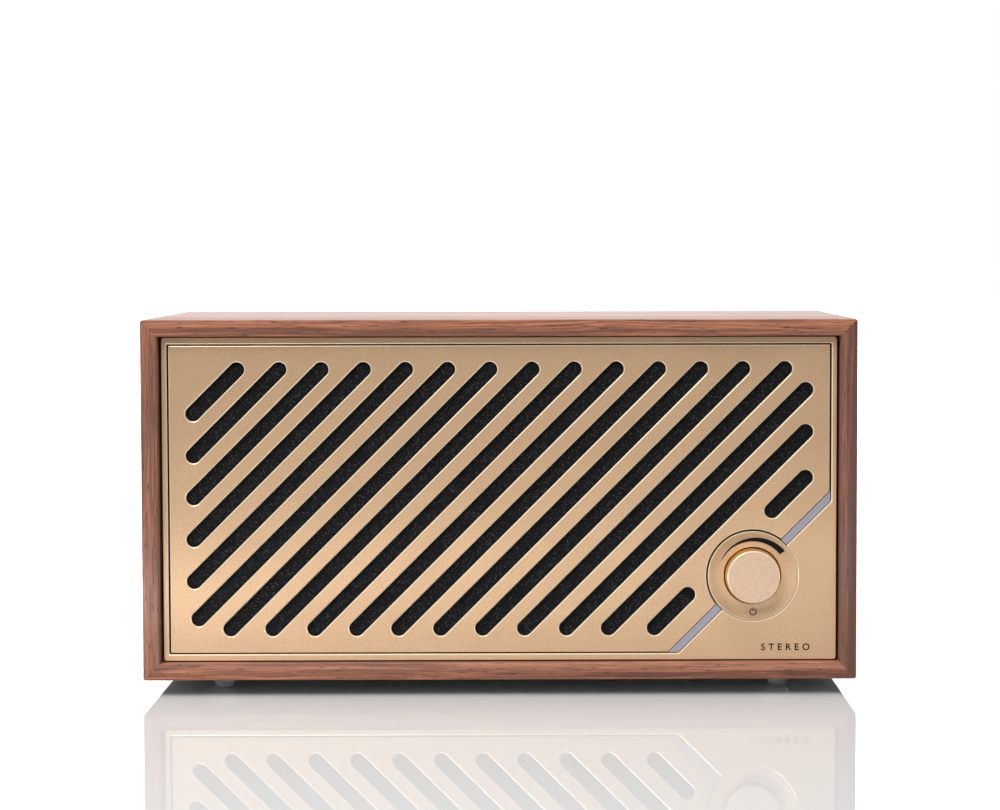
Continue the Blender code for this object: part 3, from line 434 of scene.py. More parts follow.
def timber_group():
    """Straight grain along X: broad bands, wandering streaks, fine fibres and short dark pores."""
    known = bpy.data.node_groups.get("timber_grain")
    if known:
        return known
    inputs = {"Light": (0.5, 0.25, 0.12, 1), "Dark": (0.15, 0.06, 0.04, 1), "Bands": 0.5, "Pores": 0.5}
    tree, given, out = node_group("timber_grain", inputs)
    drift = add(tree, "TexNoise", {"Vector": stretched(tree, given["Vector"], (14, 90, 90)), "Scale": 1.0})
    wander = vectors(tree, "SUBTRACT", drift.outputs["Color"], (0.5, 0.5, 0.5))
    wander = vectors(tree, "MULTIPLY", wander, (0, 4 * MM, 4 * MM))
    place = vectors(tree, "ADD", given["Vector"], wander)
    bands = noise(tree, stretched(tree, place, (3, 300, 300)), 1.0, 2.0, 0.5)
    streaks = noise(tree, stretched(tree, place, (9, 1200, 1200)), 1.0, 3.0, 0.6)
    fibres = noise(tree, stretched(tree, place, (34, 2700, 2700)), 1.0, 2.0, 0.6)
    pores = noise(tree, stretched(tree, place, (210, 2600, 2600)), 1.0, 0.0)
    flow = sums(tree, "ADD", sums(tree, "MULTIPLY", bands, 0.6), sums(tree, "MULTIPLY", streaks, 0.4))
    figure = spread(tree, flow, 0.39, 0.61, -0.55, 0.5)
    dark = add(tree, "Math", {0: figure, 1: given["Bands"]}, operation="ADD", use_clamp=True).outputs[0]
    colour = mixed(tree, dark, given["Light"], given["Dark"])
    colour = mixed(tree, spread(tree, fibres, 0.43, 0.64, 0.0, 0.75), colour, given["Dark"])
    pore = sums(tree, "MULTIPLY", spread(tree, pores, 0.68, 0.80), given["Pores"])
    tree.links.new(mixed(tree, pore, colour, (0.07, 0.028, 0.02)), out["Color"])
    tree.links.new(spread(tree, flow, 0.3, 0.7, 0.36, 0.50), out["Roughness"])
    height = sums(tree, "SUBTRACT", sums(tree, "MULTIPLY", fibres, 0.3), pore)
    tree.links.new(height, out["Height"])
    return tree


def grain_group():
    """Fine grain of a painted, moulded or rolled surface, with faint smudges in its gloss."""
    known = bpy.data.node_groups.get("fine_grain")
    if known:
        return known
    inputs = {"Colour": (0.5, 0.5, 0.5, 1), "Change": 0.1, "Scale": 3000.0, "Roughness": 0.5}
    tree, given, out = node_group("fine_grain", inputs)
    fine = noise(tree, given["Vector"], given["Scale"], 1.0, 0.6)
    coarse = noise(tree, given["Vector"], sums(tree, "MULTIPLY", given["Scale"], 0.13), 2.0, 0.5)
    smudge = noise(tree, given["Vector"], 42.0, 3.0, 0.55)
    grain = sums(tree, "ADD", sums(tree, "MULTIPLY", fine, 0.92), sums(tree, "MULTIPLY", coarse, 0.08))
    change = sums(tree, "MULTIPLY", spread(tree, grain, 0.3, 0.7, -1.0, 1.0), given["Change"])
    value = sums(tree, "ADD", 1.0, change)
    tone = add(tree, "HueSaturation", {"Color": given["Colour"], "Value": value})
    tree.links.new(tone.outputs["Color"], out["Color"])
    smudge = spread(tree, smudge, 0.3, 0.7, -0.02, 0.02)
    gloss = sums(tree, "ADD", smudge, spread(tree, fine, 0.3, 0.7, -0.03, 0.03))
    tree.links.new(sums(tree, "ADD", given["Roughness"], gloss), out["Roughness"])
    tree.links.new(grain, out["Height"])
    return tree


def weave_group():
    """A plain weave of two crossing sets of threads in the XZ plane, with pale specks and painted shade where
    the threads dip.
    """
    known = bpy.data.node_groups.get("weave")
    if known:
        return known
    inputs = {"Thread": (0.03, 0.03, 0.03, 1), "Speck": (0.2, 0.2, 0.2, 1), "Pitch": 0.55 * MM}
    tree, given, out = node_group("weave", inputs)
    parts = add(tree, "SeparateXYZ", {"Vector": given["Vector"]}).outputs
    rate = sums(tree, "DIVIDE", 2 * math.pi, given["Pitch"])
    across = sums(tree, "SINE", sums(tree, "MULTIPLY", parts["X"], rate))
    upright = sums(tree, "SINE", sums(tree, "MULTIPLY", parts["Z"], rate))
    over = sums(tree, "MULTIPLY", across, upright)
    specks = noise(tree, given["Vector"], 1900.0, 1.0, 0.6)
    height = spread(tree, over, -1.0, 1.0)
    # Painted shade: near black where the weave is low, between the threads.
    shade = mixed(tree, height, (0.004, 0.004, 0.005), given["Thread"])
    tree.links.new(mixed(tree, spread(tree, specks, 0.56, 0.72), shade, given["Speck"]), out["Color"])
    tree.links.new(spread(tree, specks, 0.3, 0.7, 0.85, 0.97), out["Roughness"])
    tree.links.new(height, out["Height"])
    return tree


def material(name, group, values, bump=0.1, depth=0.05 * MM, turn=(0, 0, 0), shift=(0, 0, 0), fixed=None):
    """A Principled material fed by one node group. Fixed values are set on the shader itself."""
    known = bpy.data.materials.get("look_" + name)
    if known:
        return known
    made = bpy.data.materials.new("look_" + name)
    made.use_nodes = True
    tree = made.node_tree
    shader = tree.nodes["Principled BSDF"]
    for socket, value in (fixed or {}).items():
        shader.inputs[socket].default_value = value
    place = add(tree, "TexCoord").outputs["Object"]
    place = add(tree, "Mapping", {"Vector": place, "Rotation": turn, "Location": shift}).outputs["Vector"]
    effect = add(tree, "Group", node_tree=group)
    tree.links.new(place, effect.inputs["Vector"])
    for socket, value in values.items():
        effect.inputs[socket].default_value = (*value, 1) if isinstance(value, tuple) else value
    tree.links.new(effect.outputs["Color"], shader.inputs["Base Color"])
    tree.links.new(effect.outputs["Roughness"], shader.inputs["Roughness"])
    raised = add(tree, "Bump", {"Strength": bump, "Distance": depth, "Height": effect.outputs["Height"]})
    tree.links.new(raised.outputs["Normal"], shader.inputs["Normal"])
    return made


def walnut(name, share, shift, turn=(0, 0, 0), light=1.0, pores=0.9):
    """Walnut for one board: share is how much dark figure it has, light scales its palest colour."""
    pale = tuple(c * light for c in colours().walnut_light)
    values = {"Light": pale, "Dark": tuple(colours().walnut_dark), "Bands": share, "Pores": pores}
    lacquer = {"Coat Weight": 0.35, "Coat Roughness": 0.22, "Specular IOR Level": 0.4}
    return material(name, timber_group(), values, 0.25, 0.04 * MM, turn, shift, lacquer)


def grained(name, colour, rough, change, scale, bump=0.3, depth=0.04 * MM, fixed=None):
    """A painted, moulded or metal surface."""
    values = {"Colour": tuple(colour), "Change": change, "Scale": scale, "Roughness": rough}
    return material(name, grain_group(), values, bump, depth, fixed=fixed)


def gold_paint():
    return grained("gold_paint", colours().gold, 0.42, 0.13, 1700.0, 0.12, 0.02 * MM, {"Metallic": 0.45})


# The painted highlight on the gold pieces' eased edges.
def gold_edge():
    return grained("gold_edge", colours().gold_edge, 0.3, 0.03, 3000.0, 0.03, 0.01 * MM, {"Metallic": 0.3})


# Polished gold, saturated to carry a painted reflection: the golden glow that the knob and the dish throw on
# each other.
def polished_gold():
    colour = (0.85, 0.52, 0.19)
    return grained("polished_gold", colour, 0.32, 0.03, 3000.0, 0.03, 0.01 * MM, {"Metallic": 0.9})


# Near black on the side walls of the gold pieces: painted shade in the slots and the gaps.
def black_wall():
    return plain("black_wall", (0.006, 0.005, 0.005), 0.8, 0.2, 1500.0, 0.1)


def is_wall(polygon):
    return polygon.material_index == 0 and abs(polygon.normal.y) < 0.2


def plastic(name="black_plastic", colour=None, rough=0.48):
    return grained(name, colour or colours().plastic, rough, 0.12, 1700.0, 0.5)


def metal(name, colour, rough=0.32, change=0.06):
    return grained(name, colour, rough, change, 1400.0, 0.1, 0.02 * MM, {"Metallic": 1.0})


def plain(name, colour, rough=0.5, change=0.12, scale=1500.0, shine=0.5):
    return grained(name, colour, rough, change, scale, fixed={"Specular IOR Level": shine})


# The cabinet and what it stands on.


class RADIO_OT_cabinet(bpy.types.Operator):
    """Four walnut boards, mitred at the corners, with their long edges eased"""

    bl_idname = "radio.cabinet"
    bl_label = "Cabinet"

    def execute(self, context):
        along_z = (0, RIGHT, 0)
        looks = {
            "cabinet_top": walnut("walnut_top", 0.38, (0.31, 0.02, 0.004)),
            "cabinet_bottom": walnut("walnut_bottom", 0.52, (0.77, 0.05, 0.0011)),
            "cabinet_left": walnut("walnut_left", 0.66, (0.13, 0.08, 0.0023), along_z, light=0.9),
            "cabinet_right": walnut("walnut_right", 0.82, (0.53, 0.11, 0.0061), along_z),
        }
        for name, look in looks.items():
            self.board(name, look)
        return {"FINISHED"}

    def board(self, node, look):
        low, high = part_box(node)
        level = node in ("cabinet_top", "cabinet_bottom")
        piece = block("board_" + node.split("_")[1], low, high)
        long_axis = 0 if level else 2

        def lengthwise(edge):
            start, end = (v.co for v in edge.verts)
            return abs((end - start).normalized()[long_axis]) > NEARLY_ALONG

        pick(piece, lengthwise, "edges")
        bpy.ops.mesh.bevel(offset=sizes().arris, segments=3, affect="EDGES")
        bpy.ops.object.mode_set(mode="OBJECT")
        shorter = sizes().mitre_line / 2 / ROOT2
        outer_x, outer_z = CAD_BOX[1].x, CAD_BOX[1].z - CENTRE_Z
        outward = 1 if node in ("cabinet_top", "cabinet_right") else -1
        for side in (-1, 1):
            if level:
                point = (side * (outer_x - shorter), 0, CENTRE_Z + outward * outer_z)
                normal = Vector((side, 0, -outward))
            else:
                point = (outward * outer_x, 0, CENTRE_Z + side * (outer_z - shorter))
                normal = Vector((-outward, 0, side))
            slice_off(piece, point, normal)
        smooth(piece, 30)
        underside = plain("underside_paint", (0.6, 0.6, 0.6), 0.7, 0.1, 900.0)
        if node == "cabinet_bottom":
            deliver(piece, "cabinet", [node], "walnut", look, underside)
            paint(piece, 1, lambda polygon: polygon.normal.z < -NEARLY_ALONG)
        else:
            deliver(piece, "cabinet", [node], "walnut", look)


class RADIO_OT_feet(bpy.types.Operator):
    """Four clear domed feet"""

    bl_idname = "radio.feet"
    bl_label = "Feet"

    def execute(self, context):
        glassy = {"Specular IOR Level": 0.5, "Transmission Weight": 0.75, "IOR": 1.45}
        clear = grained("clear_foot", (0.80, 0.81, 0.83), 0.12, 0.03, 500.0, fixed=glassy)
        for place in ("front_left", "front_right", "back_left", "back_right"):
            low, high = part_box("foot_" + place)
            centre = (low + high) / 2
            radius = (high.x - low.x) / 2
            flat, steps = 0.44 * radius, 12
            widening, tall = radius - flat, high.z - low.z
            dome = [(flat * 0.6, low.z), (flat, low.z)]
            for bend in (RIGHT * k / steps for k in range(1, steps + 1)):
                dome.append((flat + widening * math.sin(bend), low.z + tall * (1 - math.cos(bend))))
            foot = turned("clear_foot_" + place, centre, dome, ROUND, upright=True)
            deliver(smooth(foot, 50), "cabinet", ["foot_" + place], "clear_rubber", clear)
        return {"FINISHED"}


# The front.


def diagonal_point(line):
    """A point of the line x - z = line across the front, from the cabinet's middle."""
    return (line, FACE, CENTRE_Z)


UP_LEFT = Vector((-1, 0, 1)).normalized()


def finish_gold(piece, node, slot):
    """Eased edges with a painted highlight, gold paint, and black side walls as painted shade."""
    ease(piece, sizes().gold_edge, edge_slot=1)
    deliver(piece, "cabinet", [node], slot, gold_paint(), gold_edge(), black_wall())
    # The walls that face sideways get painted shade.
    paint(piece, 2, is_wall)


class RADIO_OT_bezel(bpy.types.Operator):
    """The bezel with its triangular corner panel"""

    bl_idname = "radio.bezel"
    bl_label = "Bezel"

    def execute(self, context):
        size = sizes()
        bezel = block("bezel", BEZEL_LOW, BEZEL_HIGH)
        round_corners(bezel, 1.0 * MM, 5)
        half_x = BEZEL_HIGH.x - size.rim
        half_z = BEZEL_HIGH.z - CENTRE_Z - size.rim_top
        front, back = BEZEL_LOW.y - CUT_PAST, BEZEL_HIGH.y + CUT_PAST
        window = slab("window", (0, CENTRE_Z), half_x, half_z, front, back)
        slice_off(window, diagonal_point(panel_line()), -UP_LEFT)
        combine(bezel, [window, dial_notch(0.08 * MM, BEZEL_LOW.y, BEZEL_HIGH.y)])
        finish_gold(bezel, "front_bezel", "gold_trim")
        return {"FINISHED"}


def bar_half():
    return sizes().bar_width / 2 * ROOT2


def panel_line():
    """x - z along the corner panel's edge."""
    return BAR_NEAR + 2 * bar_half() + PANEL_GAP


def dial_notch(gap, low, high, steps=FINE):
    """A cutter that leaves a gap round the dial ring."""
    return rod("notch", DIAL_SPOT, RING_RADIUS + gap, low - CUT_PAST, high + CUT_PAST, steps)


def slots():
    """The ends of the grille's slots, from the middle of the front: the last two are short."""
    margin, corner_cut = 9.4 * MM, 5.6 * MM
    reach_x, reach_z = PLATE_HALF_X - margin, PLATE_HALF_Z - margin
    corner = reach_x + reach_z - corner_cut
    first = 35.85 * MM - PLATE_HALF_X - PLATE_HALF_Z
    pitch = sizes().slot_pitch
    found = []
    for k in range(16):
        line = first + k * pitch
        low_x = max(-reach_x, line - reach_z, (line - corner) / 2)
        high_x = min(reach_x, line + reach_z, (line + corner) / 2)
        found.append(((low_x, low_x - line), (high_x, high_x - line)))
    line = first + 16 * pitch + 1.55 * MM
    step = 18.3 * MM / ROOT2
    low, high = (line - reach_z, -reach_z), (reach_x, reach_x - line)
    found.append((low, (low[0] + step, low[1] + step)))
    found.append(((high[0] - step, high[1] - step), high))
    return found


class RADIO_OT_grille(bpy.types.Operator):
    """The grille plate with its diagonal slots"""

    bl_idname = "radio.grille"
    bl_label = "Grille plate"

    def execute(self, context):
        plate = block("grille", PLATE_LOW, PLATE_HIGH)
        slice_off(plate, diagonal_point(BAR_NEAR - PANEL_GAP), -UP_LEFT)
        combine(plate, [dial_notch(0.6 * MM, PLATE_LOW.y, PLATE_HIGH.y)])
        front, back = PLATE_LOW.y - CUT_PAST, PLATE_HIGH.y + CUT_PAST
        cutters = [self.slot(low, high, front, back) for low, high in slots()]
        combine(plate, [joined(cutters)])
        finish_gold(plate, "grille_plate", "gold_plate")
        return {"FINISHED"}

    def slot(self, low, high, front, back):
        """A cylinder drawn out along the diagonal into a round-ended cutter."""
        steps = 48
        place = (low[0], CENTRE_Z + low[1])
        cutter = rod("slot", place, sizes().slot_width / 2, front, back, steps, math.pi / steps)
        corner = Vector((place[0], 0, place[1]))
        pick(cutter, lambda v: (v.co - corner).dot(Vector((1, 0, 1))) > 0)
        bpy.ops.transform.translate(value=(high[0] - low[0], 0, high[1] - low[1]))
        bpy.ops.object.mode_set(mode="OBJECT")
        return cutter


class RADIO_OT_cloth(bpy.types.Operator):
    """The speaker cloth stretched behind the grille"""

    bl_idname = "radio.cloth"
    bl_label = "Speaker cloth"

    def execute(self, context):
        low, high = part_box("grille_cloth")
        fresh()
        bpy.ops.mesh.primitive_grid_add(
            x_subdivisions=48,
            y_subdivisions=22,
            size=1,
            location=((low.x + high.x) / 2, low.y + 0.05 * MM, (low.z + high.z) / 2),
            rotation=(RIGHT, 0, 0),
        )
        bpy.context.object.scale = (high.x - low.x, high.z - low.z, 1)
        cloth = named("speaker_cloth")
        corner = BAR_NEAR - PANEL_GAP - 2 * MM
        solo(cloth)
        bpy.ops.object.mode_set(mode="EDIT")
        bpy.ops.mesh.select_all(action="SELECT")
        bpy.ops.mesh.bisect(plane_co=diagonal_point(corner), plane_no=-UP_LEFT, clear_outer=True)
        bpy.ops.object.mode_set(mode="OBJECT")
        step = cloth.modifiers.new("thickness", "SOLIDIFY")
        step.thickness = 0.35 * MM
        step.offset = 0
        bpy.ops.object.modifier_apply(modifier=step.name)
        combine(cloth, [dial_notch(2.3 * MM, low.y, high.y, ROUND)])
        threads = {"Thread": tuple(colours().cloth), "Speck": (0.065, 0.062, 0.068), "Pitch": 0.55 * MM}
        matt = {"Specular IOR Level": 0.2}
        look = material("speaker_cloth", weave_group(), threads, 0.8, 0.15 * MM, fixed=matt)
        deliver(cloth, "cabinet", ["grille_cloth"], "speaker_cloth", look)
        return {"FINISHED"}


class RADIO_OT_light_bar(bpy.types.Operator):
    """The two lengths of the light bar"""

    bl_idname = "radio.light_bar"
    bl_label = "Light bar"

    def execute(self, context):
        coat = {"Coat Weight": 0.3}
        look = grained("light_diffuser", colours().light_bar, 0.38, 0.02, 900.0, 0.05, 0.02 * MM, coat)
        half_x = BEZEL_HIGH.x - sizes().rim - 0.3 * MM
        half_z = BEZEL_HIGH.z - CENTRE_Z - sizes().rim_top - 0.3 * MM
        for place, side in (("lower", -1), ("upper", 1)):
            low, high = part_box("light_bar_" + place)
            bar = slab("diffuser_" + place, (0, CENTRE_Z), half_x, half_z, low.y, high.y)
            slice_off(bar, diagonal_point(BAR_NEAR), UP_LEFT)
            slice_off(bar, diagonal_point(BAR_NEAR + 2 * bar_half()), -UP_LEFT)
            slice_off(bar, (DIAL.x, 0, DIAL.z), Vector((-side, 0, -side)))
            combine(bar, [dial_notch(0.3 * MM, low.y, high.y)])
            ease(bar, 0.2 * MM, 3)
            deliver(bar, "cabinet", ["light_bar_" + place], "light_diffuser", look)
        return {"FINISHED"}


def dish(depth=0.0):
    """(radius, y) points across the dial ring's face, from its outer edge to its hole."""
    lip, hole, sink, steps = 0.6 * MM, KNOB_RADIUS + 0.4 * MM, 0.9 * MM, 24
    run = RING_RADIUS - lip - hole
    points = [(RING_RADIUS - lip, FACE + depth)]
    for k in range(1, steps + 1):
        sunk = depth + sink * math.sin(RIGHT * k / steps)
        points.append((RING_RADIUS - lip - run * k / steps, FACE + sunk))
    return points


class RADIO_OT_dial_ring(bpy.types.Operator):
    """The dished ring round the knob, with a painted highlight on its outer edge, painted shade on its outer
    wall and polished gold with a painted reflection at its hole
    """

    bl_idname = "radio.dial_ring"
    bl_label = "Dial ring"

    def execute(self, context):
        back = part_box("dial_ring")[1].y
        edge, lip = 0.15 * MM, 0.2 * MM
        *slope, (hole, deepest) = dish()
        profile = [(RING_RADIUS, back), (RING_RADIUS, FACE + edge)]
        profile += [*rounded_edge(RING_RADIUS, FACE, edge), *slope]
        profile += [(hole + lip, deepest), *inward(hole, deepest, lip), (hole, back)]
        ring = turned("dial_dish", DIAL_SPOT, profile, FINE, ring=True)
        for _ in range(4):
            ring.data.materials.append(None)
        rim, side = RING_RADIUS - edge - 0.02 * MM, RING_RADIUS - 0.05 * MM
        # Slot 1: a painted highlight on the rounded outer edge.
        paint(ring, 1, lambda face: from_dial(face) > rim and face.center.y < FACE + edge)
        # Slot 2: the lip into the hole, polished gold with a painted reflection.
        paint(ring, 2, lambda face: from_dial(face) < hole + lip)
        # Slot 3: the outer wall is painted black as painted shade in the gap round the ring.
        paint(ring, 3, lambda face: from_dial(face) > side and face.center.y > FACE + edge)
        looks = (gold_paint(), gold_edge(), polished_gold(), black_wall())
        deliver(smooth(ring, 30), "cabinet", ["dial_ring"], "gold_trim", *looks)
        return {"FINISHED"}


def from_dial(polygon):
    return math.hypot(polygon.center.x - DIAL.x, polygon.center.z - DIAL.z)


def inward(radius, face, edge, steps=4):
    """A rounded edge from a face into a hole, in a turned profile."""
    bends = [RIGHT * k / steps for k in range(1, steps + 1)]
    return [(radius + edge - edge * math.sin(b), face + edge - edge * math.cos(b)) for b in bends]


class RADIO_OT_knob(bpy.types.Operator):
    """The turned knob: a thin-edged cap over a straight side, hollow behind, with a boss for the shaft"""

    bl_idname = "radio.knob"
    bl_label = "Volume knob"

    def execute(self, context):
        face_radius, edge, wall, cap, boss = 10.3 * MM, 0.5 * MM, 2.0 * MM, 1.6 * MM, 2.8 * MM
        bore, boss_wall = 3.15 * MM, 1.45 * MM
        inner = KNOB_RADIUS - wall
        profile = [
            (bore, KNOB_FRONT + cap),
            (bore, KNOB_FRONT + cap + boss),
            (bore + boss_wall, KNOB_FRONT + cap + boss),
            (bore + boss_wall, KNOB_FRONT + cap),
            (inner, KNOB_FRONT + cap),
            (inner, KNOB_BACK),
            (KNOB_RADIUS, KNOB_BACK),
            (KNOB_RADIUS, FACE),
            (face_radius + 0.06 * MM, KNOB_FRONT + edge + 0.1 * MM),
            *rounded_edge(face_radius, KNOB_FRONT, edge, 6),
            (face_radius - edge - 0.15 * MM, KNOB_FRONT),
            (face_radius * 0.5, KNOB_FRONT),
        ]
        knob = turned("dial_knob", DIAL_SPOT, profile, FINE)
        for _ in range(3):
            knob.data.materials.append(None)
        # Slot 2: the knob's side, polished gold with a painted reflection.
        paint(knob, 2, lambda face: from_dial(face) > face_radius)
        flat, cap_back = face_radius - edge, KNOB_FRONT + edge
        # Slot 1: a painted highlight round the cap's edge.
        paint(knob, 1, lambda face: face.center.y < cap_back and from_dial(face) > flat)
        colour = (0.66, 0.47, 0.33)
        blasted = grained("blasted_gold", colour, 0.42, 0.16, 1900.0, 0.3, 0.03 * MM, {"Metallic": 0.5})
        looks = (blasted, gold_edge(), polished_gold())
        deliver(smooth(knob, 30), "volume_knob", ["volume_knob"], "gold_knob", *looks)
        return {"FINISHED"}


def dish_skin(name):
    """A thin skin just proud of the dial ring's dish."""
    proud, deep = 0.03 * MM, 0.05 * MM
    outer = dish(-proud)
    inner = dish(deep)
    return turned(name, DIAL_SPOT, outer + inner[::-1], FINE, ring=True)


class RADIO_OT_marks(bpy.types.Operator):
    """The printed marks: a volume crescent and a power sign on the ring, and a plain word in the corner"""

    bl_idname = "radio.marks"
    bl_label = "Marks"

    def execute(self, context):
        ink = plain("black_ink", (0.006, 0.005, 0.005), 0.6, 0.1, 2500.0, 0.15)
        brown = plain("brown_ink", (0.035, 0.02, 0.012), 0.6, 0.1, 2500.0, 0.15)
        self.crescent(ink)
        self.power_sign(brown)
        self.word(ink)
        return {"FINISHED"}

    def crescent(self, ink):
        """A crescent between two circles with shifted centres, cut off square at its wide end."""
        front, back = FACE - CUT_PAST, FACE + CUT_PAST
        skin = dish_skin("volume_mark")
        shift, lean = 1.3 * MM, math.radians(10)
        off_centre = (DIAL.x + shift * math.cos(lean), DIAL.z + shift * math.sin(lean))
        combine(skin, [rod("outer", off_centre, 14.75 * MM, front, back, FINE)], "INTERSECT")
        combine(skin, [rod("inner", DIAL_SPOT, 13.45 * MM, front, back, FINE)])
        start, end = math.radians(38), math.radians(152)
        slice_off(skin, (DIAL.x, 0, DIAL.z), (math.sin(start), 0, -math.cos(start)))
        slice_off(skin, (DIAL.x, 0, DIAL.z), (-math.sin(end), 0, math.cos(end)))
        deliver(smooth(skin, 30), "cabinet", [], "black_plastic", ink)

    def power_sign(self, ink):
        front, back = FACE - CUT_PAST, FACE + CUT_PAST
        spot = (DIAL.x + 0.2 * MM, DIAL.z - 14.1 * MM)
        outer, line = 1.45 * MM, 0.42 * MM
        loop = rod("loop", spot, outer, front, back, 40)
        combine(loop, [rod("hole", spot, outer - line, front - MM, back + MM, 40)])
        gap = 0.5 * MM
        combine(loop, [slab("opening", (spot[0], spot[1] + outer), gap, outer, front - MM, back + MM)])
        bar_low, bar_high = spot[1] + 0.25 * MM, spot[1] + outer + 0.15 * MM
        bar = block("bar", (spot[0] - line / 2, front, bar_low), (spot[0] + line / 2, back, bar_high))
        skin = dish_skin("power_sign")
        combine(skin, [joined([loop, bar])], "INTERSECT")
        deliver(skin, "cabinet", [], "black_plastic", ink)

    def word(self, ink):
        fresh()
        bpy.ops.object.text_add(location=(0, 0, 0))
        text = bpy.context.object
        text.data.body = "STEREO"
        text.data.align_x = "CENTER"
        text.data.space_character = 1.7
        text.data.offset = 0.02
        text.data.extrude = 0.5
        bpy.ops.object.convert(target="MESH")
        text = bpy.context.object
        tall = max(v.co.y for v in text.data.vertices) - min(v.co.y for v in text.data.vertices)
        scale = sizes().word_height / tall
        thin = 0.03 * MM
        text.scale = (scale, scale, thin)
        text.rotation_euler = (RIGHT, 0, 0)
        text.location = (111.3 * MM, FACE - thin / 2, CENTRE_Z - 59.4 * MM)
        word = named("corner_word")
        deliver(word, "cabinet", [], "black_plastic", ink)


# The back.


class RADIO_OT_back(bpy.types.Operator):
    """The recessed back panel with its holes"""

    bl_idname = "radio.back"
    bl_label = "Back panel"

    def execute(self, context):
        low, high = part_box("rear_panel")
        panel = block("back_panel", low, high)
        front, back = low.y - CUT_PAST, high.y + CUT_PAST
        loose = 0.3 * MM
        tools = []
        for node, radius in (
            ("bass_port", PORT_OUTER),
            ("source_button", BUTTON_RADIUS),
            ("aux_jack", JACK_NECK),
            ("aerial_socket", AERIAL_BARREL),
        ):
            tools.append(rod("hole", facing(node), radius + loose, front, back, ROUND))
        for node in screw_nodes():
            tools.append(rod("hole", facing(node), 1.9 * MM, front, back, 32))
        half_x, half_z = INLET_HALF
        tools.append(slab("hole", facing("mains_inlet"), half_x + loose, half_z + loose, front, back))
        combine(panel, [joined(tools)])
        ease(panel, 0.35 * MM, 3)
        deliver(panel, "cabinet", ["rear_panel"], "black_plastic", plastic())
        return {"FINISHED"}


def screw_nodes():
    return [f"rear_screw_{place}" for place in ("lower_right", "upper_right", "lower_left", "upper_left")]


class RADIO_OT_screws(bpy.types.Operator):
    """Cross-recessed screws that hold the back"""

    bl_idname = "radio.screws"
    bl_label = "Screws"

    def execute(self, context):
        look = metal("zinc_plate", (0.50, 0.50, 0.51), 0.3)
        for node in screw_nodes():
            low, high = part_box(node)
            spot = facing(node)
            head, shank, dome = (high.x - low.x) / 2, 1.5 * MM, 0.72 * MM
            thread_low, turns, pitch, root = low.y + 2 * shank, 7, 1.1 * MM, 0.78 * shank
            profile = [(0.3 * MM, low.y), (shank, thread_low)]
            for start in (thread_low + k * pitch for k in range(turns)):
                profile += [(root, start + 0.35 * MM), (shank, start + 0.75 * MM)]
            profile += [(shank, SEAT), (head, SEAT), (head, high.y - dome)]
            bends = [RIGHT * k / 6 for k in range(1, 6)]
            profile += [(head * math.cos(b), high.y - dome + dome * math.sin(b)) for b in bends]
            screw = turned(node.replace("rear_", ""), spot, profile, 48)
            long, thick, deep = 1.7 * MM, 0.32 * MM, 1.0 * MM
            sides = ((long, thick), (thick, long))
            combine(screw, [slab("arm", spot, x, z, high.y - deep, high.y + MM) for x, z in sides])
            ease(screw, 0.06 * MM, 2, 50)
            deliver(smooth(screw, 35), "cabinet", [node], "steel", look)
        return {"FINISHED"}


class RADIO_OT_bass_port(bpy.types.Operator):
    """The flared tube of the bass port"""

    bl_idname = "radio.bass_port"
    bl_label = "Bass port"

    def execute(self, context):
        low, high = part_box("bass_port")
        bore, flare, edge = 13 * MM, 2.5 * MM, 0.4 * MM
        flange = (high.x - low.x) / 2
        profile = [(PORT_OUTER, low.y), (PORT_OUTER, SEAT), (flange, SEAT)]
        profile += [(flange, high.y - edge), *rounded_edge(flange, high.y, edge, 4, outward=1)]
        steps = 10
        for bend in (RIGHT * k / steps for k in range(steps + 1)):
            profile.append((bore + flare - flare * math.sin(bend), high.y - flare + flare * math.cos(bend)))
        profile.append((bore, low.y))
        port = turned("bass_port_tube", facing("bass_port"), profile, FINE, ring=True)
        deliver(smooth(port, 30), "cabinet", ["bass_port"], "black_plastic", plastic())
        return {"FINISHED"}


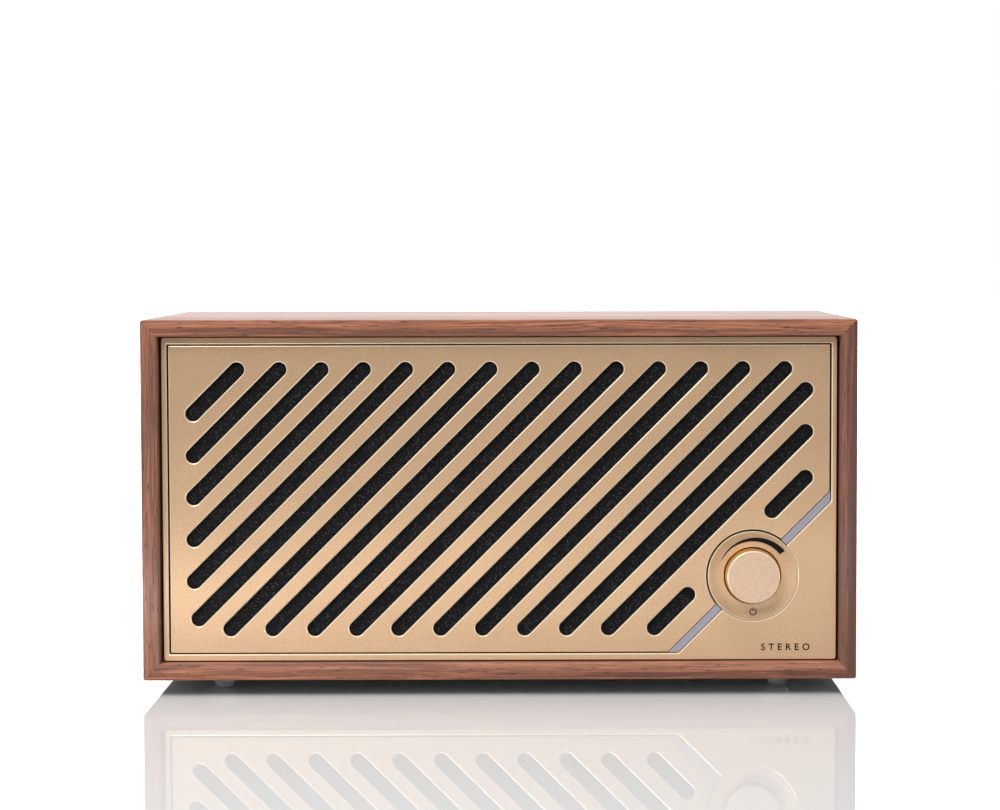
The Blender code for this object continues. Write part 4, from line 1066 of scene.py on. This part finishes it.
class RADIO_OT_sockets(bpy.types.Operator):
    """The jack, the threaded aerial socket, the button and the mains inlet"""

    bl_idname = "radio.sockets"
    bl_label = "Sockets"

    def execute(self, context):
        self.jack()
        self.aerial()
        self.button()
        self.inlet()
        return {"FINISHED"}

    def jack(self):
        low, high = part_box("aux_jack")
        bore, flange, body, edge = 1.8 * MM, 4.5 * MM, 5 * MM, 0.25 * MM
        profile = [
            (bore, low.y + MM),
            (bore, high.y - edge),
            (bore + edge, high.y),
            (flange - edge, high.y),
            (flange, high.y - edge),
            (flange, SEAT),
            (JACK_NECK, SEAT),
            (JACK_NECK, INSIDE),
            (body, INSIDE),
            (body, low.y),
            (2 * MM, low.y),
        ]
        jack = turned("line_in_jack", facing("aux_jack"), profile, ROUND)
        deliver(smooth(jack, 30), "cabinet", ["aux_jack"], "black_plastic", plastic())

    def aerial(self):
        low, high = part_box("aerial_socket")
        spot = facing("aerial_socket")
        barrel, body, bore, thread, pitch = AERIAL_BARREL, 6.5 * MM, 1 * MM, 0.35 * MM, 0.75 * MM
        root = barrel - thread
        profile = [(bore, high.y - 4 * MM), (bore, high.y), (barrel - 0.4 * MM, high.y)]
        for k in range(int((high.y - SEAT - 2 * MM) / pitch)):
            crest = high.y - 0.25 * MM - k * pitch
            profile += [(barrel, crest), (root, crest - pitch / 2)]
        profile += [(root, SEAT), (barrel, SEAT), (barrel, INSIDE), (body, INSIDE)]
        profile += [(body, low.y), (2 * MM, low.y)]
        socket = turned("aerial_barrel", spot, profile, ROUND)
        nut = rod("nut", spot, 7 * MM, SEAT, SEAT + 2 * MM, 6, math.radians(30))
        ease(nut, 0.25 * MM)
        combine(socket, [nut], "UNION")
        nickel = metal("nickel", (0.62, 0.60, 0.56), 0.22)
        deliver(smooth(socket, 30), "cabinet", ["aerial_socket"], "steel", nickel)

    def button(self):
        low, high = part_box("source_button")
        radius, edge, stem, hollow = BUTTON_RADIUS, 0.4 * MM, 2.5 * MM, 0.35 * MM
        collar = radius + 1.1 * MM
        profile = [(stem, low.y), (stem, INSIDE - MM), (collar, INSIDE - MM), (collar, INSIDE)]
        profile += [(radius, INSIDE), (radius, high.y - edge)]
        profile += rounded_edge(radius, high.y, edge, 5, outward=1)
        for share, sunk in ((0.75, 0), (0.5, 0.5), (0.25, 0.9)):
            profile.append((radius * share, high.y - hollow * sunk))
        button = turned("source_button_cap", facing("source_button"), profile, ROUND)
        look = plastic("button_grey", (0.11, 0.11, 0.115), 0.42)
        deliver(smooth(button, 30), "source_button", ["source_button"], "button_grey", look)

    def inlet(self):
        low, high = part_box("mains_inlet")
        spot = facing("mains_inlet")
        lip = block("mains_socket", (low.x, SEAT, low.z), high)
        round_corners(lip, 2 * MM, 6)
        combine(lip, [slab("shell", spot, *INLET_HALF, low.y, SEAT + 0.7 * MM)], "UNION")
        reach, radius, waist = 3.7 * MM, 4.1 * MM, 3.3 * MM
        floor, mouth = high.y - 13 * MM, high.y + CUT_PAST
        bores = [rod("bore", (spot[0] + side * reach, spot[1]), radius, floor, mouth, 48) for side in (-1, 1)]
        bores.append(slab("waist", spot, reach, waist, floor, mouth))
        combine(lip, bores)
        ease(lip, 0.25 * MM, 3)
        deliver(smooth(lip, 30), "cabinet", ["mains_inlet"], "black_plastic", plastic())
        brass = metal("plated_brass", (0.66, 0.62, 0.50), 0.25)
        for side, place in ((-1, "right"), (1, "left")):
            tip, pin, blunt = floor + 10 * MM, 1.2 * MM, 0.5 * MM
            profile = [(pin, floor - 0.5 * MM), (pin, tip - blunt)]
            profile += [(pin * 0.85, tip - blunt / 3), (pin * 0.5, tip)]
            made = turned("mains_pin_" + place, (spot[0] + side * 4.3 * MM, spot[1]), profile, 32)
            deliver(smooth(made, 40), "cabinet", [], "steel", brass)


class RADIO_OT_insides(bpy.types.Operator):
    """Finishes for the pieces inside that are shown as they were packed"""

    bl_idname = "radio.insides"
    bl_label = "Inside pieces"

    def execute(self, context):
        steel = metal("zinc_steel", (0.42, 0.42, 0.43), 0.35, 0.1)
        brass = metal("turned_brass", (0.62, 0.42, 0.16), 0.3)
        copper = metal("copper", (0.62, 0.27, 0.13), 0.33)
        board = plain("solder_mask", (0.012, 0.075, 0.03), 0.36, 0.3, 300.0)
        pine_values = {"Light": (0.62, 0.44, 0.25), "Dark": (0.40, 0.24, 0.11), "Bands": 0.8, "Pores": 0.1}
        pine = material("pine", timber_group(), pine_values, 0.3, 0.05 * MM, (0, RIGHT, 0))
        resin = {"Thread": (0.40, 0.24, 0.07), "Speck": (0.5, 0.32, 0.12), "Pitch": 0.5 * MM}
        looks = {
            "encoder_shaft": steel, "encoder_nut": steel, "radio_module": steel, "encoder_bush": brass,
            "foil_aerial": copper, "encoder_body": plastic(), "push_actuator": plastic(),
            "control_board": board, "main_board": board, "power_board": board,
            "rear_batten_left": pine, "rear_batten_right": pine,
            "front_baffle": plain("fibreboard", (0.055, 0.042, 0.03), 0.85, 0.35, 900.0),
            "transformer": plain("yellow_tape", (0.60, 0.40, 0.05), 0.42, 0.1, 600.0),
            "smoothing_capacitor": plain("sleeve", (0.02, 0.035, 0.14), 0.3, 0.08, 400.0),
            "led_strip_lower": plain("flex", (0.72, 0.72, 0.66), 0.45, 0.05, 500.0),
        }
        looks["led_strip_upper"] = looks["led_strip_lower"]
        for side in ("left_", "right_"):
            looks.update({side + part: steel for part in ("basket", "top_plate", "yoke")})
            paper = plain("cone_paper", (0.022, 0.022, 0.024), 0.88, 0.4, 2200.0)
            looks.update({side + "cone": paper, side + "dust_cap": paper})
            looks[side + "voice_coil"] = copper
            looks[side + "surround"] = plain("roll_rubber", (0.014, 0.014, 0.015), 0.62, 0.15, 900.0)
            looks[side + "magnet"] = plain("ferrite", (0.04, 0.04, 0.043), 0.6, 0.25, 700.0)
            looks[side + "spider"] = material("resin_cloth", weave_group(), resin, 0.6, 0.1 * MM)
        for node, look in looks.items():
            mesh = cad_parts[node].data
            mesh.materials.clear()
            mesh.materials.append(look)
        return {"FINISHED"}


# The studio.


class RADIO_OT_studio(bpy.types.Operator):
    """The floor, the lights, the surroundings and the camera"""

    bl_idname = "radio.studio"
    bl_label = "Studio"

    def execute(self, context):
        floor = self.floor()
        self.surroundings(context.scene)
        self.light("key", (-0.55, -0.95, 1.1), 0.65, 11.5)
        self.light("fill", (0.5, -1.0, 0.75), 0.9, 0.5)
        self.light("top", (0.0, -0.25, 1.4), 1.2, 7.5)
        low = self.light("low", (-0.05, -0.17, 0.024), 0.52, 0.125, 0.024)
        unlit = bpy.data.collections.new("unlit_by_low")
        unlit.objects.link(floor)
        low.light_linking.receiver_collection = unlit
        unlit.collection_objects[0].light_linking.link_state = "EXCLUDE"
        self.camera(context.scene)
        context.scene.view_settings.view_transform = "Standard"
        return {"FINISHED"}

    def floor(self):
        fresh()
        bpy.ops.mesh.primitive_plane_add(size=14, location=(0, 0, 0))
        floor = bpy.context.object
        floor.name = "studio_floor"
        made = bpy.data.materials.new("studio_floor")
        made.use_nodes = True
        tree = made.node_tree
        tree.nodes.remove(tree.nodes["Principled BSDF"])
        bounce = spread(tree, add(tree, "LightPath").outputs["Is Camera Ray"], 0.0, 1.0, 0.32, 1.0)
        matt = add(tree, "BsdfDiffuse", {"Color": mixed(tree, bounce, (0, 0, 0), colours().floor)})
        gloss = add(tree, "BsdfGlossy", {"Roughness": 0.0, "Color": (1, 1, 1, 1)})
        share = add(tree, "Fresnel", {"IOR": 1.32})
        both = add(tree, "MixShader", {0: share.outputs[0], 1: matt.outputs[0], 2: gloss.outputs[0]})
        tree.links.new(both.outputs[0], tree.nodes["Material Output"].inputs["Surface"])
        floor.data.materials.append(made)
        return floor

    def surroundings(self, scene):
        """White to the camera and in the floor's mirror, softer as a light."""
        world = bpy.data.worlds.new("studio")
        scene.world = world
        world.use_nodes = True
        tree = world.node_tree
        path = add(tree, "LightPath").outputs
        way = add(tree, "TexCoord").outputs["Generated"]
        parts = add(tree, "SeparateXYZ", {"Vector": way}).outputs
        above = spread(tree, parts["Z"], 0.15, 0.7, 0.10, 0.30)
        high = spread(tree, parts["Z"], 0.25, 0.6, 0.06, 0.7)
        behind = spread(tree, parts["Y"], 0.0, 0.5, 0.0, 1.35)
        card = sums(tree, "MULTIPLY", sums(tree, "MAXIMUM", high, behind), path["Is Glossy Ray"])
        soft = sums(tree, "MAXIMUM", above, card)
        mirrored = sums(tree, "MULTIPLY", path["Is Singular Ray"], 3.2)
        strength = sums(tree, "MAXIMUM", soft, sums(tree, "MAXIMUM", path["Is Camera Ray"], mirrored))
        tree.nodes["Background"].inputs["Color"].default_value = (1, 1, 1, 1)
        tree.links.new(strength, tree.nodes["Background"].inputs["Strength"])

    def light(self, name, place, size, power, height=None):
        lamp = bpy.data.lights.new(name, "AREA")
        lamp.shape = "RECTANGLE"
        lamp.size = size
        lamp.size_y = height or size
        lamp.energy = power
        thing = bpy.data.objects.new(name, lamp)
        thing.location = place
        thing.rotation_euler = (Vector(place) - Vector((0, 0, CENTRE_Z))).to_track_quat("Z", "Y").to_euler()
        thing.visible_camera = False
        bpy.context.scene.collection.objects.link(thing)
        return thing

    def camera(self, scene):
        lens = bpy.data.cameras.new("camera")
        lens.lens = 77.6
        lens.shift_x = -0.0439
        lens.shift_y = -0.0519
        lens.clip_start = 0.05
        thing = bpy.data.objects.new("camera", lens)
        pitch, yaw, roll = math.radians(2.75), math.radians(-0.294), math.radians(0.108)
        level = Vector((math.cos(yaw), math.sin(yaw), 0))
        ahead = Vector((-math.sin(yaw), math.cos(yaw), 0))
        raised = math.sin(pitch) * ahead + Vector((0, 0, math.cos(pitch)))
        right = math.cos(roll) * level - math.sin(roll) * raised
        up = math.sin(roll) * level + math.cos(roll) * raised
        turn = Matrix((right, up, right.cross(up))).transposed()
        thing.matrix_world = Matrix.Translation((0.013, FRONT - 0.8304, 0.1735)) @ turn.to_4x4()
        scene.collection.objects.link(thing)
        scene.camera = thing


PIECES = (
    RADIO_OT_cabinet,
    RADIO_OT_feet,
    RADIO_OT_bezel,
    RADIO_OT_grille,
    RADIO_OT_cloth,
    RADIO_OT_light_bar,
    RADIO_OT_dial_ring,
    RADIO_OT_knob,
    RADIO_OT_marks,
    RADIO_OT_back,
    RADIO_OT_screws,
    RADIO_OT_bass_port,
    RADIO_OT_sockets,
    RADIO_OT_insides,
    RADIO_OT_studio,
)


class RADIO_PT_panel(bpy.types.Panel):
    """Lists the radio's pieces, sizes and colours"""

    bl_label = "Radio"
    bl_idname = "RADIO_PT_panel"
    bl_space_type = "VIEW_3D"
    bl_region_type = "UI"
    bl_category = "Radio"

    def draw(self, context):
        for settings in (context.scene.radio_sizes, context.scene.radio_colours):
            box = self.layout.box()
            for name in settings.bl_rna.properties.keys():
                if name not in ("rna_type", "name"):
                    box.prop(settings, name)
        for piece in PIECES:
            self.layout.operator(piece.bl_idname)


def register():
    for kind in (RadioSizes, RadioColours, *PIECES, RADIO_PT_panel):
        bpy.utils.register_class(kind)
    bpy.types.Scene.radio_sizes = bpy.props.PointerProperty(type=RadioSizes)
    bpy.types.Scene.radio_colours = bpy.props.PointerProperty(type=RadioColours)


def unregister():
    del bpy.types.Scene.radio_colours
    del bpy.types.Scene.radio_sizes
    for kind in reversed((RadioSizes, RadioColours, *PIECES, RADIO_PT_panel)):
        bpy.utils.unregister_class(kind)


def main():
    register()
    for piece in PIECES:
        group, name = piece.bl_idname.split(".")
        getattr(getattr(bpy.ops, group), name)()
    fresh()


if __name__ == "__main__":
    main()
